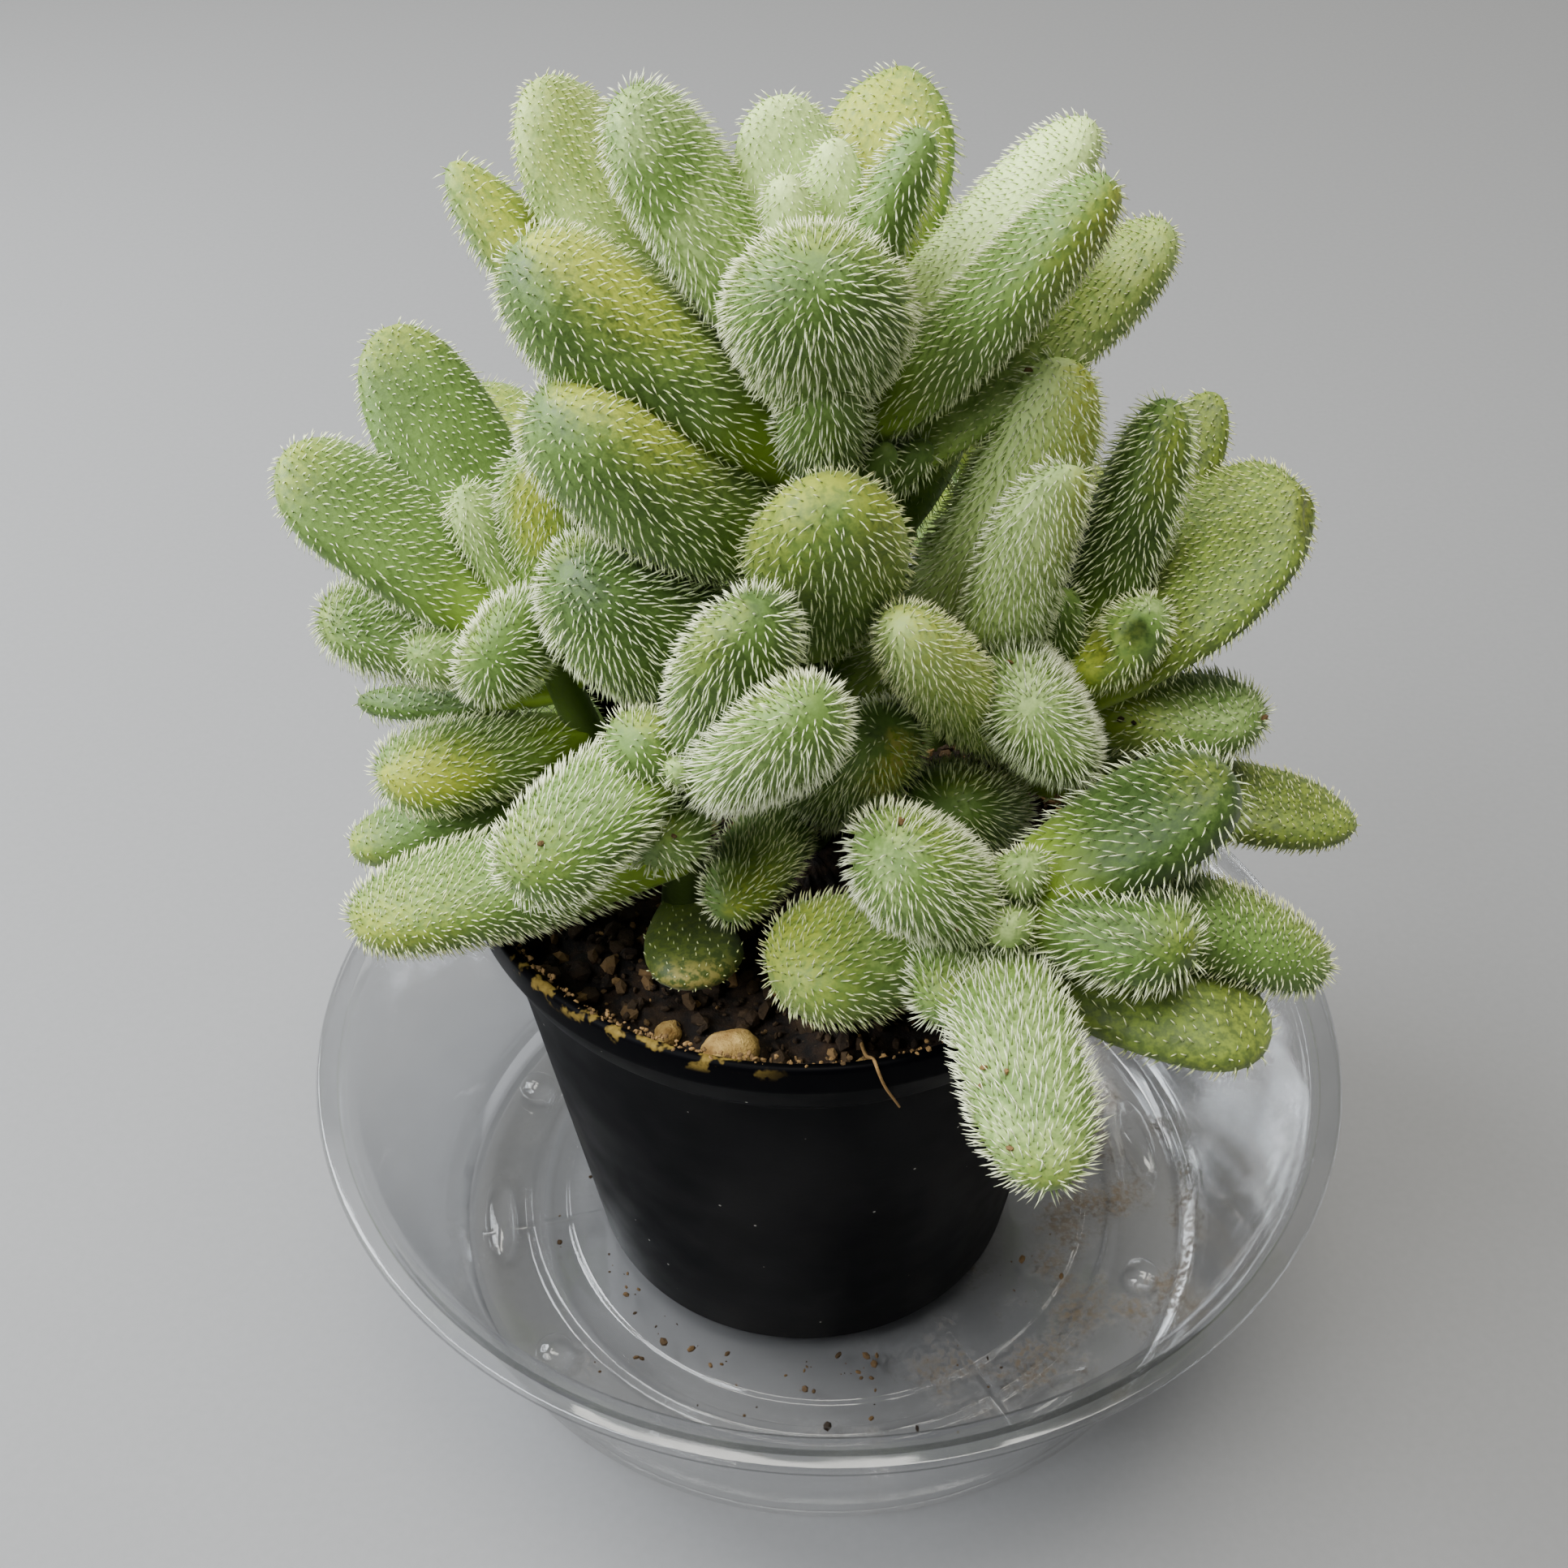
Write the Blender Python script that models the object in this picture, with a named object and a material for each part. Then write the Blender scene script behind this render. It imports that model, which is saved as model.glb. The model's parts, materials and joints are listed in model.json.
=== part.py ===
# Potted sedum: a hairy-leaved sedum in a black nursery pot, standing in a clear plastic saucer.
# Metres, +Z up. The origin is the middle of the saucer's underside, and -Y is the front.
# Sizes below are in millimetres and are turned to metres by MM.

import math
import random

import bmesh
import bpy
from mathutils import Matrix, Vector

MM = 0.001
GAP = 0.3  # clearance between pieces that touch
SMOOTH_ANGLE = 35  # edges sharper than this stay sharp

# Saucer, turned from one wall thickness
SAUCER_BASE_RADIUS = 38.6
SAUCER_WALL_RADIUS = 46.8
SAUCER_RIM_RADIUS = 49.3
SAUCER_HEIGHT = 26.8
SAUCER_WALL = 0.9
SAUCER_FLOOR = 1.2
SAUCER_FOOT_ROUND = 1.0
SAUCER_LIP_ROUND = 0.3
SAUCER_SEAT = 1.5  # the raised disc that the pot stands on
SAUCER_SEAT_RADIUS = 27.0
SAUCER_RING_RADIUS = 31.0  # a low ring step in the floor
SAUCER_RING_WIDTH = 0.8
SAUCER_RING_HEIGHT = 0.7
SAUCER_RING_SLOPE = 0.6
SAUCER_SIDES = 48
BUMP_RING_RADIUS = 34.2
BUMP_COUNT = 12
BUMP_FIRST_ANGLE = -142
ROUND_BUMP_RADII = (1.9, 1.9, 1.1)
LONG_BUMP_RADII = (1.7, 5.4, 0.9)
RIB_ANGLES = (-168, -60, 48)
RIB_SIZE = (13.4, 0.9, 1.5)
RIB_MIDDLE = (29.6, 0, 1.15)

# Pot, which stands a little off the saucer's middle
POT_X = -2.3
POT_Y = 0.4
POT_FOOT_RADIUS = 21.4
POT_NECK_RADIUS = 27.8  # where the wall meets the collar
POT_RIM_RADIUS = 30.0
POT_RIM_HEIGHT = 51.5
POT_COLLAR_HEIGHT = 45.4
POT_COLLAR_STEP = 0.6
POT_COLLAR_BULGE = 0.2
POT_WALL = 0.9
POT_FLOOR = 1.0
POT_ROUND = 0.3
POT_SIDES = 42
DRAIN_RADIUS = 2.6
DRAIN_RING_RADIUS = 12.5
DRAIN_SIDES = 12

# Soil
SOIL_HEIGHT = 47.0
SOIL_RELIEF = 0.7
SOIL_SIDES = 36
SOIL_RING_STEPS = (4, 9, 15, 21)
CRUMB_COUNT = 16
CRUMB_SIZES = (0.8, 1.7)
CRUMB_KEEP_OFF = 5.5  # how far a crumb stays from a pebble's middle
STEM_SOCKET_DEPTH = 9.0
SOCKET_SIDES = 12
PEBBLE_RISE = 0.22  # how far a pebble's middle lies above the soil, as a share of its height
PEBBLES = (  # x, y, length, width, height, turn in degrees
    (-8.6, -24.6, 5.2, 3.8, 3.0, 20),
    (-13.8, -21.4, 2.8, 2.2, 1.8, 60),
    (2.6, -25.4, 2.4, 2.0, 1.6, -30),
)

# Leaves
LEAF_WIDEST = 0.6  # share of the length at which a leaf is widest
LEAF_ROOT_WIDTH = 0.42  # width of a leaf's root as a share of its full width
LEAF_STATIONS = (0.0, 0.25, 0.5, 0.7, 0.86, 0.96)
LARGE_LEAF_LENGTH = 18
LARGE_LEAF_SIDES = 8
SMALL_LEAF_SIDES = 6
STEM_SIDES = 8

# Leafy stems: the points of each stem from the soil up, its radius at foot and top, and its leaves as
# height on the stem, heading and rise in degrees, length, width, thickness, curl and roll in degrees,
# and the bluntness of the tip: 0.5 is round, more is pointed and less is blunt.
# A heading of 0 is +X and 90 is the back. A leaf's curl is how far it turns up from root to tip, and
# its roll is how far it is turned about its own length.
STEMS = {
    "sedum_crown": {
        "points": ((-2, 2, 47), (-2, 1, 62), (-1.5, 1, 78), (-1, 2, 90), (-1.5, 3, 98)),
        "radii": (2.4, 1.5),
        "leaves": (
            (96, 105, 61, 19, 8.5, 4.6, 6, 0, 0.5),
            (92, 66, 50, 26.6, 12, 5, 6, 0, 0.7),
            (88, 148, 45, 35.5, 13, 5.6, 34, 0, 0.5),
            (84, 160, 39, 38, 7.8, 5.4, 26, 0, 0.6),
            (93, 160, 56, 26.2, 10.6, 6.6, 6, 0, 0.5),
            (97, 60, 77, 15, 4.6, 3.4, 0, 0, 0.5),
            (97, -160, 80, 13.6, 5, 3.8, 0, 0, 0.5),
            (96, 0, 66, 19, 5.6, 4.2, 0, 0, 0.5),
            (93, -92, 57, 19, 12.6, 10, 6, 0, 0.5),
            (87, -4, 49, 31.4, 7.8, 6, 6, 0, 0.5),
            (92, 21, 41, 29, 7.8, 5.7, 6, 0, 0.55),
            (84, 20, 32, 34.5, 11, 5.4, 10, 0, 0.5),
            (87, -176, 41, 29, 13.8, 10.2, 14, 0, 0.5),
            (79, -158, 41, 28, 14.2, 10.4, 12, 0, 0.5),
            (85, -87, 59, 17, 6.4, 4.8, 6, 0, 0.5),
            (61, 3, 61, 41, 7.2, 9.4, 46, 0, 0.5),
            (71, -84, 60, 25.5, 12.2, 8.6, 16, 0, 0.5),
            (65, -152, 43, 28.5, 14.8, 10.8, 12, 0, 0.5),
            (52, -64, 54, 23.5, 9.8, 7.6, 10, 0, 0.5),
            (54, -109, 11, 21.5, 6.8, 5.2, -6, 0, 0.5),
            (82, -62, 60, 10.2, 4.4, 3.4, 0, 0, 0.5),
            (82, -35, 53, 11.4, 3.6, 2.8, 0, 0, 0.5),
            (82, -15, 43, 12.3, 4, 3, 0, 0, 0.5),
            (85, 118, 32, 31, 11, 5.6, 8, 0, 0.5),
            (83, 62, 28, 31, 11, 5.6, 10, 0, 0.5),
            (77, 92, 34, 30, 11.4, 6.2, 8, 0, 0.5),
            (74, 138, 30, 29, 10.4, 5.8, 8, 0, 0.5),
            (73, 58, 30, 27, 10, 5.6, 8, 0, 0.5),
            (61, 88, 26, 22, 9, 5.4, 8, 0, 0.5),
            (60, 150, 24, 18, 8, 5.2, 8, 0, 0.5),
            (60, 36, 30, 18, 8, 5.2, 8, 0, 0.5),
            (56, -168, 26, 17, 7.6, 5.2, 8, 0, 0.5),
            (67, 112, 34, 25, 9.6, 5.6, 8, 0, 0.5),
            (67, 66, 34, 24, 9.4, 5.6, 8, 0, 0.5),
            (55, 112, 14, 17, 7.6, 4.8, 6, 0, 0.5),
            (54, 50, 14, 16, 7.4, 4.8, 6, 0, 0.5),
        ),
    },
    "sedum_left": {
        "points": ((-17, 2, 47), (-20, 2, 56), (-22.5, 1.5, 65), (-24.7, 1, 74.5)),
        "radii": (2.0, 1.3),
        "leaves": (
            (71, 126, 41, 29.5, 11.2, 5, 8, 0, 0.5),
            (71, 168, 37, 25.6, 13.2, 5.8, 6, 0, 0.55),
            (73, 144, 56, 12.5, 5, 3.8, 0, 0, 0.5),
            (71, 60, 84, 17.4, 7.4, 5.4, 12, 0, 0.5),
            (69, 178, 13, 19.5, 9.2, 6, 8, 0, 0.5),
            (65, 170, -10, 19.5, 4, 2.8, 6, 0, 0.5),
            (71, -150, 12, 12, 5.4, 4.2, 6, 0, 0.5),
            (73, -105, 18, 11.5, 9.2, 6, 10, 62, 0.5),
            (74, 170, 20, 6, 3, 2.4, 0, 0, 0.5),
            (60.5, -155, 5, 18.5, 8.6, 6.4, 8, 0, 0.5),
            (57, -162, -10, 23, 7.4, 5.2, 6, 0, 0.5),
            (66, 60, 40, 18, 7.4, 4.8, 6, 0, 0.5),
            (58, 126, 4, 13, 7.2, 4.6, 6, 0, 0.5),
            (55, -176, 6, 17, 7, 4.6, -6, 0, 0.5),
        ),
    },
    "sedum_front": {
        "points": ((-13, -8.5, 47), (-12.4, -10.6, 56), (-11.6, -12.4, 64), (-11.5, -13, 72)),
        "radii": (2.0, 1.3),
        "leaves": (
            (58, -168, -5, 28, 10, 6.6, -12, 0, 0.5),
            (71, -138, -14, 18, 9, 6.8, -20, 0, 0.5),
            (69, -130, 46, 9, 6.6, 5.6, 0, 0, 0.5),
            (70, -92, 30, 9, 2.8, 2.4, 0, 0, 0.5),
            (71, -72, 36, 9, 2.8, 2.4, 0, 0, 0.5),
            (66, -108, 4, 8.5, 6.8, 5.4, 0, 0, 0.5),
            (67, -52, 47, 23.5, 9.2, 7, 10, 0, 0.5),
            (66, -46, 69, 23.6, 9.6, 7.2, 0, 0, 0.5),
            (51, -82, 7, 12, 8, 2.8, -6, 0, 0.5),
        ),
    },
    "sedum_right": {
        "points": ((14, 2, 47), (16, 0.5, 56), (18.5, -1, 64), (20.5, -3, 70)),
        "radii": (2.0, 1.3),
        "leaves": (
            (57, -79, 79, 36, 4.8, 7, 42, -84, 0.5),
            (65, 40, 68, 27.6, 7.2, 5.2, 6, 0, 0.5),
            (64, 51, 42, 31, 7.2, 3.6, 6, 0, 0.55),
            (67, 24, 38, 25.5, 14, 5.4, 10, 0, 0.35),
            (68, -22, 57, 11.4, 6.8, 5.2, 0, 0, 0.5),
            (66, 140, 86, 11, 4.6, 3.6, 0, 0, 0.5),
            (65, -2, -1, 17.8, 8.4, 6, 6, 0, 0.5),
            (57, -12, -3, 29.6, 10, 4.4, -8, 0, 0.65),
            (64, -107, 40, 15.5, 12.4, 7.2, 0, -45, 0.5),
            (59, -133, 53, 30, 8, 6.2, 6, 0, 0.5),
            (54, -118, 33, 17, 9.4, 7.4, 10, 0, 0.5),
            (57, 22, 2, 17, 7.6, 4.8, 6, 0, 0.5),
            (62, 84, 40, 17, 7.4, 4.8, 6, 0, 0.5),
        ),
    },
    "sedum_low": {
        "points": ((8, -13, 47), (10, -17, 54), (12, -20, 60), (13, -21, 63)),
        "radii": (2.0, 1.3),
        "leaves": (
            (61.5, 10, 27, 20.5, 11, 6.6, 4, 0, 0.5),
            (61, -4, -13, 28, 9, 5.8, -36, 0, 0.55),
            (60, -29, 9, 17, 8.2, 6.2, -12, 0, 0.5),
            (56, -28, -4, 25.5, 12, 4.8, -14, 0, 0.5),
            (62, -66, 60, 7, 4.6, 3.6, 0, 0, 0.5),
            (62, -88, 16, 7, 4, 3.2, 0, 0, 0.5),
            (60, -146, 48, 16, 10.4, 8, 8, 0, 0.5),
            (55, -160, 1, 16.5, 11.4, 8.4, -8, 0, 0.5),
            (59, -110, -4, 11.5, 6.8, 5.4, -10, 0, 0.5),
            (56, -82, 2, 28.5, 9, 5.4, -46, 0, 0.5),
        ),
    },
    "sedum_back_left": {
        "points": ((-14, 15, 47), (-17, 18, 55), (-19, 21, 63), (-20, 23, 68)),
        "radii": (2.0, 1.3),
        "leaves": (
            (67, 172, 34, 18, 8, 5, 6, 0, 0.5),
            (66, 134, 24, 22, 10, 5.2, 8, 0, 0.5),
            (67, 92, 36, 21, 9, 5.2, 8, 0, 0.5),
            (62, 152, 6, 23, 9, 5.2, -6, 0, 0.5),
            (60, 112, 4, 23, 9.4, 5.2, -8, 0, 0.5),
            (62, 74, 16, 19, 8.4, 5, 6, 0, 0.5),
            (67, 30, 60, 12, 5, 3.8, 0, 0, 0.5),
            (67, 145, 66, 12, 5, 3.8, 0, 0, 0.5),
            (57, 178, 8, 14, 6.8, 4.4, 6, 0, 0.5),
            (56, 60, 8, 14, 6.8, 4.4, 6, 0, 0.5),
            (54, 128, 8, 15, 7, 4.4, 0, 0, 0.5),
        ),
    },
    "sedum_back_right": {
        "points": ((11, 17, 47), (14, 19, 55), (16, 22, 62), (17, 24, 66)),
        "radii": (2.0, 1.3),
        "leaves": (
            (64, 14, 10, 18, 8, 5, 6, 0, 0.5),
            (63, 52, 2, 20, 9.6, 5.2, 8, 0, 0.5),
            (65, 90, 24, 21, 9, 5.2, 8, 0, 0.5),
            (59, 34, 4, 23, 9, 5.2, -6, 0, 0.5),
            (58, 74, 2, 24, 9.4, 5.2, -8, 0, 0.5),
            (61, 116, 14, 18, 8.2, 5, 6, 0, 0.5),
            (65, 130, 58, 12, 5, 3.8, 0, 0, 0.5),
            (65, 60, 60, 12, 5, 3.8, 0, 0, 0.5),
            (56, -14, 8, 14, 6.8, 4.4, 6, 0, 0.5),
            (55, 110, 8, 13, 6.8, 4.4, 6, 0, 0.5),
            (54, 54, 8, 15, 7, 4.4, 0, 0, 0.5),
        ),
    },
}


def start_empty():
    for old in list(bpy.data.objects):
        bpy.data.objects.remove(old, do_unlink=True)


def material(name, colour, roughness, alpha=1.0):
    made = bpy.data.materials.new(name)
    made.use_nodes = True
    shader = made.node_tree.nodes["Principled BSDF"]
    shader.inputs["Base Color"].default_value = (*colour, 1.0)
    shader.inputs["Roughness"].default_value = roughness
    shader.inputs["Metallic"].default_value = 0.0
    shader.inputs["Alpha"].default_value = alpha
    return made


def place(name, bm, finish):
    bmesh.ops.recalc_face_normals(bm, faces=bm.faces)
    mesh = bpy.data.meshes.new(name)
    bm.to_mesh(mesh)
    bm.free()
    mesh.shade_smooth()
    mesh.set_sharp_from_angle(angle=math.radians(SMOOTH_ANGLE))
    mesh.materials.append(finish)
    thing = bpy.data.objects.new(name, mesh)
    bpy.context.scene.collection.objects.link(thing)
    return thing


def turned(profile, sides, centre=(0, 0)):
    # A solid of revolution. The profile runs from the axis round the section and back to the axis.
    bm = bmesh.new()
    points = [bm.verts.new((radius * MM, 0, height * MM)) for radius, height in profile]
    edges = [bm.edges.new(pair) for pair in zip(points, points[1:])]
    bmesh.ops.spin(
        bm, geom=points + edges, cent=(0, 0, 0), axis=(0, 0, 1), angle=2 * math.pi, steps=sides,
        use_merge=True,
    )
    bmesh.ops.remove_doubles(bm, verts=bm.verts, dist=1e-6)
    bmesh.ops.translate(bm, verts=bm.verts, vec=(centre[0] * MM, centre[1] * MM, 0))
    return bm


def keep_outer_shell(thing):
    # Drops loose scraps and fills any hollow that fusing seals off: only the largest shell stays.
    bm = bmesh.new()
    bm.from_mesh(thing.data)
    shells = []
    unseen = set(bm.faces)
    while unseen:
        shell = {unseen.pop()}
        edge_of_shell = list(shell)
        while edge_of_shell:
            face = edge_of_shell.pop()
            for edge in face.edges:
                for other in edge.link_faces:
                    if other in unseen:
                        unseen.remove(other)
                        shell.add(other)
                        edge_of_shell.append(other)
        shells.append(shell)
    largest = max(shells, key=len)
    extra = [face for shell in shells if shell is not largest for face in shell]
    bmesh.ops.delete(bm, geom=extra, context="FACES")
    bm.to_mesh(thing.data)
    bm.free()


def combine(thing, others, operation):
    # Joins or cuts with a whole collection at once, then removes the collection and its objects.
    group = bpy.data.collections.new(thing.name + "_tools")
    bpy.context.scene.collection.children.link(group)
    for other in others:
        for holder in list(other.users_collection):
            holder.objects.unlink(other)
        group.objects.link(other)
    modifier = thing.modifiers.new("combine", "BOOLEAN")
    modifier.operand_type = "COLLECTION"
    modifier.collection = group
    modifier.operation = operation
    modifier.solver = "EXACT"
    depsgraph = bpy.context.evaluated_depsgraph_get()
    result = bpy.data.meshes.new_from_object(thing.evaluated_get(depsgraph))
    thing.modifiers.clear()
    thing.data = result
    for other in list(group.objects):
        bpy.data.objects.remove(other, do_unlink=True)
    bpy.data.collections.remove(group)
    keep_outer_shell(thing)


def cylinder(name, finish, x, y, low, high, radius, sides):
    bm = bmesh.new()
    middle = Matrix.Translation((x * MM, y * MM, (low + high) / 2 * MM))
    bmesh.ops.create_cone(
        bm, cap_ends=True, segments=sides, radius1=radius * MM, radius2=radius * MM,
        depth=(high - low) * MM, matrix=middle,
    )
    return place(name, bm, finish)


def dome(name, finish, centre, radii, turn=0, detail=1):
    bm = bmesh.new()
    shape = Matrix.Translation(Vector(centre) * MM) @ Matrix.Rotation(math.radians(turn), 4, "Z")
    shape = shape @ Matrix.Diagonal((*(radius * MM for radius in radii), 1))
    bmesh.ops.create_icosphere(bm, subdivisions=detail, radius=1, matrix=shape)
    return place(name, bm, finish)


def saucer_wall_radius(height):
    share = height / SAUCER_HEIGHT
    return SAUCER_BASE_RADIUS + (SAUCER_WALL_RADIUS - SAUCER_BASE_RADIUS) * share


def make_saucer(finish):
    top = SAUCER_HEIGHT
    low_flange = top - SAUCER_WALL
    lip = SAUCER_LIP_ROUND
    inner_foot = 3.0
    ring_top = SAUCER_FLOOR + SAUCER_RING_HEIGHT
    ring_inside = SAUCER_RING_RADIUS - SAUCER_RING_WIDTH
    profile = (
        (0, 0),
        (SAUCER_BASE_RADIUS - SAUCER_FOOT_ROUND, 0),
        (SAUCER_BASE_RADIUS + 0.1, SAUCER_FOOT_ROUND),
        (saucer_wall_radius(low_flange) - 0.1, low_flange - 0.6),
        (SAUCER_WALL_RADIUS + 0.5, low_flange),
        (SAUCER_RIM_RADIUS - 0.2, low_flange),
        (SAUCER_RIM_RADIUS, low_flange + lip),
        (SAUCER_RIM_RADIUS - lip, top),
        (saucer_wall_radius(top) - 0.4, top),
        (saucer_wall_radius(top - 1.0) - SAUCER_WALL, top - 1.0),
        (saucer_wall_radius(inner_foot) - SAUCER_WALL, inner_foot),
        (SAUCER_BASE_RADIUS - 1.6, SAUCER_FLOOR),
        (SAUCER_RING_RADIUS + SAUCER_RING_SLOPE, SAUCER_FLOOR),
        (SAUCER_RING_RADIUS, ring_top),
        (ring_inside, ring_top),
        (ring_inside - SAUCER_RING_SLOPE, SAUCER_FLOOR),
        (SAUCER_SEAT_RADIUS + 0.4, SAUCER_FLOOR),
        (SAUCER_SEAT_RADIUS, SAUCER_SEAT),
        (0, SAUCER_SEAT),
    )
    saucer = place("saucer", turned(profile, SAUCER_SIDES), finish)
    relief = []
    for index in range(BUMP_COUNT):
        turn = BUMP_FIRST_ANGLE + index * 360 / BUMP_COUNT
        angle = math.radians(turn)
        x = BUMP_RING_RADIUS * math.cos(angle)
        y = BUMP_RING_RADIUS * math.sin(angle)
        radii = ROUND_BUMP_RADII if index % 2 == 0 else LONG_BUMP_RADII
        relief.append(dome("bump", finish, (x, y, SAUCER_FLOOR), radii, turn))
    for turn in RIB_ANGLES:
        bm = bmesh.new()
        bar = Matrix.Rotation(math.radians(turn), 4, "Z") @ Matrix.Translation(Vector(RIB_MIDDLE) * MM)
        bmesh.ops.create_cube(bm, size=MM, matrix=bar @ Matrix.Diagonal((*RIB_SIZE, 1)))
        relief.append(place("rib", bm, finish))
    combine(saucer, relief, "UNION")
    return saucer


def pot_outer_radius(height):
    share = (height - SAUCER_SEAT) / (POT_COLLAR_HEIGHT - SAUCER_SEAT)
    return POT_FOOT_RADIUS + (POT_NECK_RADIUS - POT_FOOT_RADIUS) * share


def make_pot(finish):
    foot = SAUCER_SEAT + GAP
    collar = POT_COLLAR_HEIGHT
    collar_low = collar + POT_COLLAR_STEP
    neck_outside = collar - 1.0
    neck_inside = collar - 1.4
    rim = POT_RIM_RADIUS
    top = POT_RIM_HEIGHT
    profile = (
        (0, foot),
        (POT_FOOT_RADIUS - 0.9, foot),
        (POT_FOOT_RADIUS, foot + 0.9),
        (pot_outer_radius(neck_outside), neck_outside),
        (rim - 1.1, collar_low),
        (rim + POT_COLLAR_BULGE, top - 2.4),
        (rim, top - POT_ROUND),
        (rim - POT_ROUND, top),
        (rim - POT_WALL, top),
        (rim - POT_WALL - 0.2, top - 1.0),
        (rim - 2.0, collar_low),
        (pot_outer_radius(neck_inside) - POT_WALL, neck_inside),
        (POT_FOOT_RADIUS - POT_WALL, foot + POT_FLOOR),
        (0, foot + POT_FLOOR),
    )
    pot = place("pot", turned(profile, POT_SIDES, (POT_X, POT_Y)), finish)
    drains = []
    for quarter in range(4):
        angle = math.radians(45 + 90 * quarter)
        x = POT_X + DRAIN_RING_RADIUS * math.cos(angle)
        y = POT_Y + DRAIN_RING_RADIUS * math.sin(angle)
        drains.append(cylinder("drain", finish, x, y, foot - 1, foot + 2, DRAIN_RADIUS, DRAIN_SIDES))
    combine(pot, drains, "DIFFERENCE")
    return pot


def soil_height(x, y):
    ripple = math.sin(0.61 * x + 1.3) * math.cos(0.53 * y - 0.4)
    ripple += 0.6 * math.sin(0.29 * x - 0.83 * y + 2.1)
    return SOIL_HEIGHT + SOIL_RELIEF * ripple


def make_soil(finish):
    floor = SAUCER_SEAT + GAP + POT_FLOOR + GAP
    collar = POT_COLLAR_HEIGHT
    neck = collar - 1.4
    edge = POT_RIM_RADIUS - POT_WALL - 1.0
    top_rings = [(edge - step, SOIL_HEIGHT) for step in SOIL_RING_STEPS]
    profile = (
        (0, floor),
        (POT_FOOT_RADIUS - POT_WALL - GAP, floor),
        (pot_outer_radius(neck) - POT_WALL - GAP, neck),
        (POT_RIM_RADIUS - 2.0 - GAP, collar + POT_COLLAR_STEP),
        (edge - GAP, SOIL_HEIGHT + 0.2),
        *top_rings,
        (0, SOIL_HEIGHT),
    )
    bm = turned(profile, SOIL_SIDES, (POT_X, POT_Y))
    for vert in bm.verts:
        x = vert.co.x / MM
        y = vert.co.y / MM
        inside = math.hypot(x - POT_X, y - POT_Y) < edge - 2
        if inside and vert.co.z / MM > SOIL_HEIGHT - 0.5:
            vert.co.z = soil_height(x, y) * MM
    soil = place("soil", bm, finish)
    draw = random.Random(7)
    crumbs = []
    while len(crumbs) < CRUMB_COUNT:
        far = edge * math.sqrt(draw.uniform(0.04, 0.86))
        angle = draw.uniform(0, 2 * math.pi)
        size = draw.uniform(*CRUMB_SIZES)
        x = POT_X + far * math.cos(angle)
        y = POT_Y + far * math.sin(angle)
        if any(math.hypot(x - pebble[0], y - pebble[1]) < CRUMB_KEEP_OFF for pebble in PEBBLES):
            continue
        radii = (size, size * 0.8, size * 0.7)
        crumbs.append(dome("crumb", finish, (x, y, soil_height(x, y)), radii, math.degrees(angle)))
    combine(soil, crumbs, "UNION")
    return soil


def cut_soil(soil, finish):
    # Plain sockets for the stems, and a shallow cup under each pebble.
    cutters = []
    high = SOIL_HEIGHT + 4
    low = SOIL_HEIGHT - STEM_SOCKET_DEPTH - GAP
    for stem in STEMS.values():
        x, y, _ = stem["points"][0]
        radius = stem["radii"][0] + GAP + 0.1
        cutters.append(cylinder("socket", finish, x, y, low, high, radius, SOCKET_SIDES))
    for x, y, length, width, height, turn in PEBBLES:
        centre = (x, y, pebble_centre_height(x, y, height))
        radii = (length / 2 + GAP, width / 2 + GAP, height / 2 + GAP)
        cutters.append(dome("cup", finish, centre, radii, turn, 2))
    combine(soil, cutters, "DIFFERENCE")


def pebble_centre_height(x, y, height):
    return soil_height(x, y) + PEBBLE_RISE * height


def make_pebbles(finish):
    for number, (x, y, length, width, height, turn) in enumerate(PEBBLES, 1):
        centre = (x, y, pebble_centre_height(x, y, height))
        name = f"pebble_{number}"
        dome(name, finish, centre, (length / 2, width / 2, height / 2), turn, 2)


def leaf_half_width(share, tip):
    # Half the width at a share of the length, as a part of the full half width.
    if share < LEAF_WIDEST:
        swell = math.sin(0.5 * math.pi * share / LEAF_WIDEST)
        return LEAF_ROOT_WIDTH + (1 - LEAF_ROOT_WIDTH) * swell
    past = (share - LEAF_WIDEST) / (1 - LEAF_WIDEST)
    return max(0.0, 1 - past ** 3) ** tip


def leaf_frame(heading, rise, roll):
    # The leaf's direction, the direction across it and the one that its upper side faces.
    direction = Vector((
        math.cos(heading) * math.cos(rise),
        math.sin(heading) * math.cos(rise),
        math.sin(rise),
    ))
    level = Vector((-math.sin(heading), math.cos(heading), 0))
    across = Matrix.Rotation(roll, 3, direction) @ level
    return direction, across, direction.cross(across)


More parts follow.
